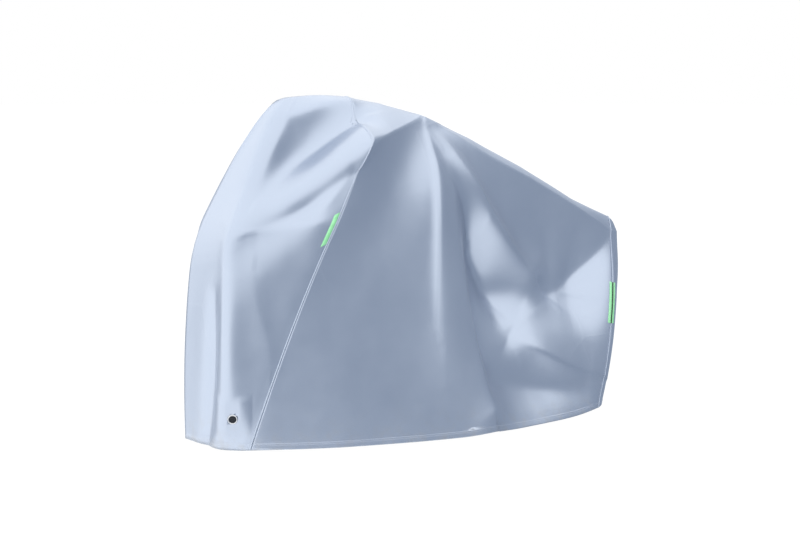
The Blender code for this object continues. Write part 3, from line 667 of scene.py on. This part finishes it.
def bumps(tree, heights):
    """Bump nodes in a row, each (height, strength, distance)."""
    normal = None
    for height, strength, distance in heights:
        bump = add(tree, "Bump")
        bump.inputs["Strength"].default_value = strength
        bump.inputs["Distance"].default_value = distance
        tree.links.new(height, bump.inputs["Height"])
        if normal:
            tree.links.new(normal, bump.inputs["Normal"])
        normal = bump.outputs["Normal"]
    return normal


def finish(name, **fixed):
    """Material with its Principled shader's own sockets set."""
    made = bpy.data.materials.new(name)
    made.use_nodes = True
    shader = made.node_tree.nodes["Principled BSDF"]
    for label, value in fixed.items():
        shader.inputs[label.replace("_", " ")].default_value = value
    return made, made.node_tree, shader


def place_of(tree):
    """Place on the piece, in metres."""
    return add(tree, "TexCoord").outputs["Object"]


def mask_of(tree, name):
    """Mask that the points of the cloth carry."""
    return add(tree, "Attribute", attribute_name=name).outputs["Fac"]


# ---------------------------------------------------------------- pieces
def local(p):
    """From the tables' coordinates to the saddle rest."""
    return np.asarray(p) - SADDLE_REST


def mesh_of(name, verts, faces):
    """Mesh from its points and faces."""
    mesh = bpy.data.meshes.new(name)
    mesh.from_pydata([tuple(v) for v in verts], [], faces)
    return mesh


def link(name, mesh, materials):
    """Piece of the cover that shows a mesh, fixed to the cover's one body."""
    obj = bpy.data.objects.new(name, mesh)
    bpy.context.scene.collection.objects.link(obj)
    for material in materials:
        mesh.materials.append(material)
    mesh.shade_smooth()
    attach(obj, "root")
    return obj


def eyelet_block(cover, side):
    """First and last column and row of the cells taken out round an eyelet."""
    centre = cover.eyelets[side][0]
    close = np.linalg.norm(cover.points[side] - centre, axis=-1) < EYELET_FLANGE + EYELET_CLEAR
    i, j = np.where(close)
    return i.min(), i.max(), j.min(), j.max()


def hole_rim(cover, side, block):
    """Corners round the block, in order, and the points of the hole's rim opposite them."""
    i0, i1, j0, j1 = block
    loop = ([(i, j0) for i in range(i0, i1)] + [(i1, j) for j in range(j0, j1)]
            + [(i, j1) for i in range(i1, i0, -1)] + [(i0, j) for j in range(j1, j0, -1)])
    centre, axis = cover.eyelets[side]
    rim = []
    for i, j in loop:
        away = cover.points[side][i, j] - centre
        away = away - axis * (away @ axis)
        rim.append(centre + unit(away) * (EYELET_HOLE + EYELET_BARREL + EYELET_EASE))
    return loop, rim


def cut_places(cover, side):
    """Where each point of a side lies on the cut cloth: along it, and up from the hem."""
    steps = np.linalg.norm(np.diff(cover.points[side], axis=0), axis=-1)
    run = np.vstack([np.zeros((1, cover.rows + 1)), np.cumsum(steps, axis=0)])
    return np.stack([run * -side, cover.from_hem(side)], axis=-1)


def panel(cover, name, first, last, material, eyelets=()):
    """Sheet of cloth from one column to another, over both sides, with holes for the eyelets."""
    cut = {side: cut_places(cover, side) for side in (NEAR, FAR)}
    index, verts, near_hem, near_seam = {}, [], [], []

    def corner(side, i, j):
        """Number of the point at a column and row. The lines that both sides share have one point."""
        home = NEAR if i in (0, cover.last) or j == cover.rows else side
        if (home, i, j) not in index:
            index[home, i, j] = len(verts)
            verts.append(local(cover.points[home][i, j]))
            near_hem.append(math.exp(-cut[home][i, j, 1] / HEM_FADE))
            run = cut[home][:, j, 0]
            off = min(abs(run[i] - run[cover.first[k]]) for k in (SEAM, REAR_SEAM))
            near_seam.append(math.exp(-off / SEAM_FADE))
        return index[home, i, j]

    faces, places = [], []
    blocks = {side: eyelet_block(cover, side) for side in eyelets}
    for side in (NEAR, FAR):
        for i in range(first, last):
            for j in range(cover.rows):
                if side in blocks:
                    i0, i1, j0, j1 = blocks[side]
                    if i0 <= i < i1 and j0 <= j < j1:
                        continue
                ring = [(i, j), (i + 1, j), (i + 1, j + 1), (i, j + 1)]
                ring = ring if side == NEAR else ring[::-1]
                face = [corner(side, *q) for q in ring]
                kept = [n for n in range(4) if face[n] not in face[:n]]
                if len(kept) > 2:
                    faces.append([face[n] for n in kept])
                    places.extend(cut[side][ring[n]] for n in kept)
    for side, block in blocks.items():
        loop, rim = hole_rim(cover, side, block)
        start = len(verts)
        verts.extend(local(p) for p in rim)
        near_hem.extend([EYELET_NEAR_HEM] * len(rim))
        near_seam.extend([0.0] * len(rim))
        for n in range(len(loop)):
            m = (n + 1) % len(loop)
            face = [corner(side, *loop[n]), corner(side, *loop[m]), start + m, start + n]
            spots = [cut[side][loop[n]], cut[side][loop[m]]] * 2
            faces.append(face if side == NEAR else face[::-1])
            places.extend(spots if side == NEAR else spots[::-1])
    mesh = mesh_of(name, verts, faces)
    mesh.uv_layers.new(name="cut").data.foreach_set("uv", np.array(places, np.float32).ravel())
    for label, values in (("near_hem", near_hem), ("near_seam", near_seam)):
        mesh.attributes.new(label, "FLOAT", "POINT").data.foreach_set("value", values)
    mesh.validate()
    obj = link(name, mesh, (material, cloth_back))
    thick = obj.modifiers.new("thickness", "SOLIDIFY")
    thick.thickness = CLOTH
    thick.offset = -1.0
    thick.use_even_offset = False
    thick.material_offset = 1
    thick.material_offset_rim = 0
    return obj


def beside(cover, side, s_line, forward, h):
    """Point and normal on the cloth at height h, a width forward of a seam, or behind it if negative."""
    probes = [cover.at(side, s, h)[0] for s in (s_line, s_line - math.copysign(PROBE, forward))]
    reach = PROBE / max(np.linalg.norm(probes[1] - probes[0]), 1e-6)
    return cover.at(side, s_line - forward * reach, h)


def band(cover, name, side, s_line, profile, run, material):
    """Band along a seam. The profile is (towards the front, out of the cloth), from front to rear."""
    (low, high), steps = run
    rings = []
    for h in np.linspace(low, high, steps + 1):
        ring = []
        for forward, out in profile:
            point, normal = beside(cover, side, s_line, forward, h)
            ring.append(local(point + normal * out))
        rings.append(ring)
    count = len(profile)
    verts = [p for ring in rings for p in ring]
    faces = []
    for k in range(steps):
        for m in range(count):
            n = (m + 1) % count
            quad = [k * count + m, k * count + n, (k + 1) * count + n, (k + 1) * count + m]
            faces.append(quad if side == NEAR else quad[::-1])
    ends = [list(range(count))[::-1], [steps * count + m for m in range(count)]]
    faces.extend(ends if side == NEAR else [end[::-1] for end in ends])
    mesh = mesh_of(name, verts, faces)
    mesh.validate()
    return link(name, mesh, (material,))


def even_line(points, normals, pitch):
    """Points and normals at an even pitch along a line of cloth."""
    points, normals = np.array(points), np.array(normals)
    run = np.concatenate([[0], np.cumsum(np.linalg.norm(np.diff(points, axis=0), axis=-1))])
    at = np.arange(pitch * 0.5, run[-1], pitch)
    line = np.stack([np.interp(at, run, points[:, k]) for k in range(3)], axis=-1)
    out = np.stack([np.interp(at, run, normals[:, k]) for k in range(3)], axis=-1)
    return line, unit(out)


def stitches(name, lines, lift, material):
    """Rows of thread: each stitch is a short bead of thread with its ends drawn into the cloth."""
    verts, faces = [], []
    for points, normals in lines:
        line, out = even_line(points, normals, STITCH_LENGTH + STITCH_GAP)
        for k in range(len(line) - 1):
            way = unit(line[k + 1] - line[k])
            beside_way = np.cross(way, out[k])
            start = len(verts)
            for place, girth, rise in STITCH_SHAPE:
                middle = line[k] + way * STITCH_LENGTH * place + out[k] * (lift + rise)
                for m in range(THREAD_SIDES):
                    angle = 2 * math.pi * m / THREAD_SIDES
                    spoke = beside_way * math.cos(angle) + out[k] * math.sin(angle)
                    verts.append(local(middle + girth * THREAD * 0.5 * spoke))
            last = start + (len(STITCH_SHAPE) - 1) * THREAD_SIDES
            for low in range(start, last, THREAD_SIDES):
                high = low + THREAD_SIDES
                for m in range(THREAD_SIDES):
                    n = (m + 1) % THREAD_SIDES
                    faces.append((low + m, high + m, high + n, low + n))
            faces.append(tuple(start + m for m in range(THREAD_SIDES)))
            faces.append(tuple(last + m for m in reversed(range(THREAD_SIDES))))
    return link(name, mesh_of(name, verts, faces), (material,))


def seam_line(cover, side, s_line, forward, run):
    """Points and normals along a seam, set forward of it by a width."""
    (low, high), steps = run
    found = [beside(cover, side, s_line, forward, h) for h in np.linspace(low, high, steps + 1)]
    return [p for p, _ in found], [n for _, n in found]


def hem_line(cover, side, run):
    """Points and normals along the hem's stitch line."""
    (first, last), steps = run
    places = np.linspace(first, last, steps + 1)
    lengths = slant_length(side, places)
    found = [cover.at(side, s, HEM_STITCH / length) for s, length in zip(places, lengths)]
    return [p for p, _ in found], [n for _, n in found]


def turned(name, profile, centre, axis, sides, material):
    """Ring turned about an axis from a closed (radius, height) profile."""
    turn = Vector((0, 0, 1)).rotation_difference(Vector(axis)).to_matrix().to_4x4()
    place = Matrix.Translation(Vector(local(centre))) @ turn
    verts, faces = [], []
    count = len(profile)
    for k in range(sides):
        angle = 2 * math.pi * k / sides
        verts.extend(place @ Vector((r * math.cos(angle), r * math.sin(angle), z)) for r, z in profile)
        for m in range(count):
            n = (m + 1) % count
            k2 = (k + 1) % sides
            faces.append((k * count + m, k2 * count + m, k2 * count + n, k * count + n))
    return link(name, mesh_of(name, verts, faces), (material,))


def ring_profile():
    """Closed section of the eyelet: a rolled rim outside, a flat washer inside, a tube between."""
    middle = (EYELET_HOLE + EYELET_FLANGE) / 2
    half = (EYELET_FLANGE - EYELET_HOLE) / 2
    profile = []
    for k in range(EYELET_ROLL + 1):
        angle = math.pi * k / EYELET_ROLL
        rise = EYELET_SEAT + EYELET_LIP * math.sin(angle) ** 0.8
        profile.append((middle - half * math.cos(angle), rise))
    tube = EYELET_HOLE + EYELET_BARREL
    low = -CLOTH - EYELET_SEAT
    profile += [(EYELET_FLANGE - EYELET_ROUND, EYELET_FOOT), (tube, EYELET_FOOT), (tube, low),
                (EYELET_FLANGE - EYELET_SEAT, low), (EYELET_FLANGE, low - EYELET_ROUND),
                (EYELET_FLANGE - EYELET_ROUND, low - EYELET_WASHER),
                (EYELET_HOLE + EYELET_ROUND, low - EYELET_WASHER), (EYELET_HOLE, low - EYELET_ROUND)]
    return profile


# ---------------------------------------------------------------- materials
CLOTH_DEEP = (0.415, 0.475, 0.580, 1)
CLOTH_PALE = (0.455, 0.515, 0.615, 1)
# the next colour is painted shade in the gaps between the woven threads
CLOTH_GAP_SHADE = (0.30, 0.35, 0.45, 1)
CLOTH_RUBBED = (0.52, 0.57, 0.66, 1)
# inner face: a dark backing, made near black so that it paints the shade inside the cover, seen through
# the eyelets
BACK_DEEP_SHADED = (0.045, 0.050, 0.060, 1)
BACK_PALE_SHADED = (0.065, 0.072, 0.085, 1)
BACK_GAP_SHADE = (0.02, 0.022, 0.026, 1)
DUST_COLOUR = (0.40, 0.38, 0.35, 1)
THREAD_DEEP = (0.33, 0.37, 0.45, 1)
THREAD_PALE = (0.50, 0.55, 0.64, 1)
FILM_DEEP = (0.24, 0.72, 0.32, 1)
FILM_PALE = (0.42, 0.88, 0.47, 1)
FILM_WALL = (0.10, 0.42, 0.18, 1)
FILM_WORN = (0.55, 0.75, 0.58, 1)
# near-black tape: painted shade of the gap between the rear strip's halves
SHADE_TAPE_DEEP = (0.006, 0.020, 0.010, 1)
SHADE_TAPE_PALE = (0.02, 0.05, 0.03, 1)
METAL_BRIGHT = (0.52, 0.54, 0.57, 1)
METAL_WORN = (0.30, 0.31, 0.33, 1)
FLOOR_DEEP = (0.03, 0.03, 0.03, 1)
FLOOR_PALE = (0.06, 0.06, 0.06, 1)
WHITE = (1, 1, 1, 1)
WEAVE_PITCH = 0.00062               # from one thread of the cloth to the next


def coated_cloth():
    """Silver satin coating over a fine woven cloth."""
    made, tree, shader = finish("coated cloth", Metallic=0.74, IOR=1.45, Coat_Weight=0.18,
                                Coat_Roughness=0.30, Sheen_Weight=0.05)
    place = place_of(tree)
    cut = add(tree, "UVMap", uv_map="cut").outputs["UV"]
    hem, seam = mask_of(tree, "near_hem"), mask_of(tree, "near_seam")
    weave = use(tree, WEAVE, Vector=cut, Pitch=WEAVE_PITCH)
    clouds = use(tree, CLOUDS, Vector=place, Scale=3.2, Contrast=1.3).outputs["Cloud"]
    net = use(tree, CREASE_NET, Vector=place, Scale=4.2, Line=0.035)
    pucker_hem = use(tree, PUCKER, Vector=place, Near_Edge=hem, Pitch=0.016).outputs["Height"]
    pucker_seam = use(tree, PUCKER, Vector=place, Near_Edge=seam, Pitch=0.020).outputs["Height"]
    dust = use(tree, DUST, Vector=place, Near_Hem=hem, Amount=0.35).outputs["Mask"]
    colour = mixed(tree, clouds, CLOTH_DEEP, CLOTH_PALE)
    # painted shade in the gaps between the woven threads
    colour = mixed(tree, maths(tree, "MULTIPLY", weave.outputs["Gap"], 0.10), colour, CLOTH_GAP_SHADE)
    colour = mixed(tree, maths(tree, "MULTIPLY", net.outputs["Line"], 0.06), colour, CLOTH_RUBBED)
    colour = mixed(tree, dust, colour, DUST_COLOUR)
    feed(tree, shader.inputs["Base Color"], colour)
    rough = ramp(tree, clouds, 0.2, 0.8, 0.33, 0.41)
    feed(tree, shader.inputs["Roughness"], maths(tree, "MULTIPLY_ADD", dust, 0.25, rough))
    feed(tree, shader.inputs["Normal"], bumps(tree, (
        (net.outputs["Height"], 0.25, 0.0006), (pucker_hem, 0.35, 0.0016), (pucker_seam, 0.30, 0.0016),
        (weave.outputs["Height"], 0.20, 0.00006),
    )))
    return made


def dark_shaded_back():
    """The cloth's inner face: the same weave without the silver, a dark backing made near black so that it
    paints the shade inside the cover.
    """
    made, tree, shader = finish("shaded cloth back", IOR=1.45, Sheen_Weight=0.1)
    place = place_of(tree)
    cut = add(tree, "UVMap", uv_map="cut").outputs["UV"]
    weave = use(tree, WEAVE, Vector=cut, Pitch=WEAVE_PITCH)
    clouds = use(tree, CLOUDS, Vector=place, Scale=5.0, Contrast=1.0).outputs["Cloud"]
    colour = mixed(tree, clouds, BACK_DEEP_SHADED, BACK_PALE_SHADED)
    # painted shade in the gaps between the woven threads
    feed(tree, shader.inputs["Base Color"], mixed(tree, weave.outputs["Gap"], colour, BACK_GAP_SHADE))
    feed(tree, shader.inputs["Roughness"], ramp(tree, clouds, 0.2, 0.8, 0.62, 0.75))
    feed(tree, shader.inputs["Normal"], bumps(tree, ((weave.outputs["Height"], 0.4, 0.0001),)))
    return made


def seam_cloth():
    """Folded cloth of the seams, rubbed a little brighter along its top."""
    made, tree, shader = finish("seam cloth", Metallic=0.74, IOR=1.45, Coat_Weight=0.18,
                                Coat_Roughness=0.30)
    place = place_of(tree)
    clouds = use(tree, CLOUDS, Vector=place, Scale=9.0, Contrast=1.3).outputs["Cloud"]
    ripple = use(tree, PUCKER, Vector=place, Near_Edge=1.0, Pitch=0.007).outputs["Height"]
    worn = use(tree, WEAR, Vector=place, Scale=90.0, Amount=0.35).outputs["Mask"]
    colour = mixed(tree, worn, mixed(tree, clouds, CLOTH_DEEP, CLOTH_PALE), CLOTH_RUBBED)
    feed(tree, shader.inputs["Base Color"], colour)
    feed(tree, shader.inputs["Roughness"], ramp(tree, clouds, 0.2, 0.8, 0.34, 0.44))
    feed(tree, shader.inputs["Normal"], bumps(tree, ((ripple, 0.4, 0.0012),)))
    return made


def sewing_thread():
    """Twisted thread, close to the colour of the cloth."""
    made, tree, shader = finish("sewing thread", IOR=1.5, Sheen_Weight=0.3)
    place = place_of(tree)
    twist = noise_node(tree, place, 900.0, 2.0)
    feed(tree, shader.inputs["Base Color"], mixed(tree, twist, THREAD_DEEP, THREAD_PALE))
    feed(tree, shader.inputs["Roughness"], ramp(tree, twist, 0.3, 0.7, 0.55, 0.7))
    feed(tree, shader.inputs["Normal"], bumps(tree, ((twist, 0.5, 0.0002),)))
    return made


def reflective_film():
    """Pale green film over rows of tiny prisms."""
    made, tree, shader = finish("reflective film", IOR=1.55, Coat_Weight=0.5, Coat_Roughness=0.12)
    place = place_of(tree)
    cells = add(tree, "TexVoronoi", feature="DISTANCE_TO_EDGE")
    feed(tree, cells.inputs["Vector"], place)
    cells.inputs["Scale"].default_value = 420.0
    cells.inputs["Randomness"].default_value = 0.25
    wall = ramp(tree, cells.outputs["Distance"], 0.10, 0.02)
    clouds = use(tree, CLOUDS, Vector=place, Scale=30.0, Contrast=1.2).outputs["Cloud"]
    worn = use(tree, WEAR, Vector=place, Scale=160.0, Amount=0.3).outputs["Mask"]
    colour = mixed(tree, clouds, FILM_DEEP, FILM_PALE)
    colour = mixed(tree, maths(tree, "MULTIPLY", wall, 0.35), colour, FILM_WALL)
    colour = mixed(tree, worn, colour, FILM_WORN)
    feed(tree, shader.inputs["Base Color"], colour)
    feed(tree, shader.inputs["Roughness"], ramp(tree, clouds, 0.2, 0.8, 0.28, 0.40))
    feed(tree, shader.inputs["Normal"], bumps(tree, ((cells.outputs["Distance"], 0.3, 0.0003),)))
    return made


def painted_shade_tape():
    """Near-black woven tape between the two halves of the rear strip: its dark colour paints the shade of
    the gap between them.
    """
    made, tree, shader = finish("tape of painted gap shade", IOR=1.45, Sheen_Weight=0.2)
    place = place_of(tree)
    rib = noise_node(tree, place, 700.0, 1.0)
    feed(tree, shader.inputs["Base Color"], mixed(tree, rib, SHADE_TAPE_DEEP, SHADE_TAPE_PALE))
    feed(tree, shader.inputs["Roughness"], ramp(tree, rib, 0.3, 0.7, 0.55, 0.7))
    feed(tree, shader.inputs["Normal"], bumps(tree, ((rib, 0.5, 0.0003),)))
    return made


def eyelet_metal():
    """Bright rolled metal with fine scratches and duller, worn specks."""
    made, tree, shader = finish("eyelet metal", Metallic=1.0)
    place = place_of(tree)
    worn = use(tree, WEAR, Vector=place, Scale=220.0, Amount=0.5).outputs["Mask"]
    brushed = noise_node(tree, place, 500.0, 3.0, 0.6)
    feed(tree, shader.inputs["Base Color"], mixed(tree, worn, METAL_BRIGHT, METAL_WORN))
    rough = ramp(tree, brushed, 0.3, 0.7, 0.18, 0.30)
    feed(tree, shader.inputs["Roughness"], maths(tree, "MULTIPLY_ADD", worn, 0.15, rough))
    feed(tree, shader.inputs["Normal"], bumps(tree, ((brushed, 0.15, 0.0001),)))
    return made


# cloth_back is the near-black inner face, painted shade inside the cover
cloth_face, cloth_back, cloth_seam = coated_cloth(), dark_shaded_back(), seam_cloth()
thread, film, tape, metal = sewing_thread(), reflective_film(), painted_shade_tape(), eyelet_metal()


# ---------------------------------------------------------------- the cover
cover = Cover()
hood = panel(cover, "hood_cloth", 0, cover.first[SEAM], cloth_face, (NEAR, FAR))
body = panel(cover, "body_cloth", cover.first[SEAM], cover.first[REAR_SEAM], cloth_face)
rear = panel(cover, "rear_cloth", cover.first[REAR_SEAM], cover.last, cloth_face)
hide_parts("hood_panel", "eyelet_strip_near", "eyelet_strip_far")
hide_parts("body_panel_near", "body_panel_far")
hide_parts("rear_panel")

# sections of the two kinds of seam: (towards the front, out of the cloth), from front to rear
LAP = ((LAP_WIDTH + SUNK, -SUNK), (LAP_WIDTH * 0.86, LAP_RISE * 0.4), (LAP_WIDTH * 0.60, LAP_RISE * 0.9),
       (LAP_WIDTH * 0.40, LAP_RISE), (LAP_WIDTH * 0.08, LAP_RISE * 0.95), (0.0, LAP_RISE * 0.8),
       (-0.0001, -SUNK))
PIPE = ((PIPE_WIDTH / 2, -SUNK), (PIPE_WIDTH * 0.42, PIPE_RISE * 0.6), (PIPE_WIDTH * 0.2, PIPE_RISE),
        (-PIPE_WIDTH * 0.2, PIPE_RISE), (-PIPE_WIDTH * 0.42, PIPE_RISE * 0.6), (-PIPE_WIDTH / 2, -SUNK))
TAPE = tuple((ahead * TAPE_SPREAD, out + TAPE_RISE) for ahead, out in PIPE)


def strip_section(start, width):
    """Thin flat section with rounded edges, from start to start + width towards the front."""
    low, high, end = STRIP_LIFT, STRIP_LIFT + STRIP_THICK, start + width
    return ((end, low), (end, high - STRIP_SOFT), (end - STRIP_SOFT, high),
            (start + width * 0.5, high + STRIP_CROWN),
            (start + STRIP_SOFT, high), (start, high - STRIP_SOFT), (start, low))


FRONT_STRIP = strip_section(STRIP_START, STRIP_WIDTH - STRIP_MARGIN)
STRIP_AHEAD = strip_section(REAR_STRIP_START, REAR_STRIP_WIDTH - REAR_STRIP_START)
STRIP_BEHIND = strip_section(-REAR_STRIP_WIDTH, REAR_STRIP_WIDTH - REAR_STRIP_START)

lap_lines, pipe_lines = [], []
for side, label in ((NEAR, "near"), (FAR, "far")):
    band(cover, "hood_seam_" + label, side, SEAM, LAP, RUNS["lap"], cloth_seam)
    band(cover, "rear_seam_" + label, side, REAR_SEAM, PIPE, RUNS["pipe"], cloth_seam)
    front = band(cover, "front_film_" + label, side, SEAM, FRONT_STRIP, RUNS["front strip"],
                 film)
    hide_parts("front_strip_" + label)
    ahead = band(cover, "rear_film_side_" + label, side, REAR_SEAM, STRIP_AHEAD, RUNS["rear strip"],
                 film)
    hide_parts("rear_strip_side_" + label)
    behind = band(cover, "rear_film_back_" + label, side, REAR_SEAM, STRIP_BEHIND, RUNS["rear strip"],
                  film)
    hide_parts("rear_strip_back_" + label)
    # dark tape over the rear seam: painted shade of the gap between the strip's halves
    band(cover, "rear_shade_tape_" + label, side, REAR_SEAM, TAPE, RUNS["rear strip"], tape)
    centre, axis = cover.eyelets[side]
    ring = turned("eyelet_ring_" + label, ring_profile(), centre, axis, EYELET_SIDES, metal)
    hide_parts("eyelet_" + label)
    lap_lines.append(seam_line(cover, side, SEAM, LAP_STITCH, RUNS["lap stitches"]))
    pipe_lines.append(seam_line(cover, side, REAR_SEAM, PIPE_STITCH, RUNS["pipe stitches"]))
hem_lines = [hem_line(cover, side, HEM_RUN) for side in (NEAR, FAR)]
stitches("seam_stitches", lap_lines, LAP_STITCH_LIFT, thread)
stitches("rear_seam_stitches", pipe_lines, STITCH_LIFT, thread)
stitches("hem_stitches", hem_lines, STITCH_LIFT, thread)

# ---------------------------------------------------------------- floor, light and camera
FLOOR = float(cad_low[2]) - 0.012   # just under the hem
FLOOR_RADIUS = 60
FLOOR_CORNERS = 48
CAMERA_LENS, SENSOR_WIDTH = 65, 36  # in millimetres
CAMERA_TURN, CAMERA_TILT = -30, 8   # degrees from straight at the near side, and above the level
CAMERA_TARGET = (-0.06, 0.0, -0.558)
CAMERA_DISTANCE = 5.0


def pale_floor():
    """White floor that gives its own light, so that it stays plain."""
    made, tree, shader = finish("pale floor", Specular_IOR_Level=0.0, Emission_Strength=1.0)
    clouds = use(tree, CLOUDS, Vector=place_of(tree), Scale=0.8, Contrast=0.5).outputs["Cloud"]
    feed(tree, shader.inputs["Base Color"], mixed(tree, clouds, FLOOR_DEEP, FLOOR_PALE))
    shader.inputs["Emission Color"].default_value = WHITE
    shader.inputs["Roughness"].default_value = 0.9
    return made


def stage_plane(name, corners, material):
    """Flat sheet that belongs to the studio and not to the cover."""
    mesh = mesh_of(name, corners, [tuple(range(len(corners)))])
    mesh.materials.append(material)
    obj = bpy.data.objects.new(name, mesh)
    bpy.context.scene.collection.objects.link(obj)
    return obj


angles = [2 * math.pi * k / FLOOR_CORNERS for k in range(FLOOR_CORNERS)]
corners = [(FLOOR_RADIUS * math.cos(a), FLOOR_RADIUS * math.sin(a), FLOOR) for a in angles]
floor = stage_plane("floor", corners, pale_floor())
# the floor neither lights the cover nor shows in its coating
floor.visible_diffuse = False
floor.visible_glossy = False

# Bright parts of the studio: which way each lies, and how far towards it the light begins and is full.
BRIGHT_PARTS = (
    ((-0.45, 0.00, 0.90), (0.06, 0.30)),    # overhead
    ((-0.98, -0.20, 0.00), (0.22, 0.56)),   # at the left
    ((0.42, 0.72, 0.55), (0.78, 1.10)),     # high behind, not to its full
    ((-0.50, 0.00, -0.87), (0.30, 0.60)),   # the floor at the left
)
DIM_LIGHT = (0.36, 0.42, 0.52, 1)
FULL_LIGHT = (1.60, 1.60, 1.60, 1)


def studio_world():
    """Soft light on the cover from the bright parts, dim light elsewhere, and a plain white backdrop."""
    world = bpy.data.worlds.new("studio")
    world.use_nodes = True
    tree = world.node_tree
    light = tree.nodes["Background"]
    behind = tree.nodes.new("ShaderNodeBackground")
    behind.inputs["Color"].default_value = WHITE
    way = add(tree, "TexCoord").outputs["Generated"]
    share = 0.0
    for direction, edge in BRIGHT_PARTS:
        reach = add(tree, "VectorMath", operation="DOT_PRODUCT")
        tree.links.new(way, reach.inputs[0])
        reach.inputs[1].default_value = direction
        share = maths(tree, "MAXIMUM", ramp(tree, reach.outputs["Value"], *edge), share)
    feed(tree, light.inputs["Color"], mixed(tree, share, DIM_LIGHT, FULL_LIGHT))
    shown = add(tree, "MixShader")
    feed(tree, shown.inputs[0], add(tree, "LightPath").outputs["Is Camera Ray"])
    tree.links.new(light.outputs[0], shown.inputs[1])
    tree.links.new(behind.outputs[0], shown.inputs[2])
    tree.links.new(shown.outputs[0], tree.nodes["World Output"].inputs["Surface"])
    return world


bpy.context.scene.world = studio_world()

camera = bpy.data.objects.new("camera", bpy.data.cameras.new("camera"))
bpy.context.scene.collection.objects.link(camera)
camera.data.lens = CAMERA_LENS
camera.data.sensor_width = SENSOR_WIDTH
turn, tilt = math.radians(CAMERA_TURN), math.radians(CAMERA_TILT)
back = Vector((math.sin(turn) * math.cos(tilt), -math.cos(turn) * math.cos(tilt), math.sin(tilt)))
camera.location = Vector(CAMERA_TARGET) + back * CAMERA_DISTANCE
camera.rotation_euler = back.to_track_quat("Z", "Y").to_euler()
bpy.context.scene.camera = camera
bpy.context.scene.view_settings.view_transform = "Standard"
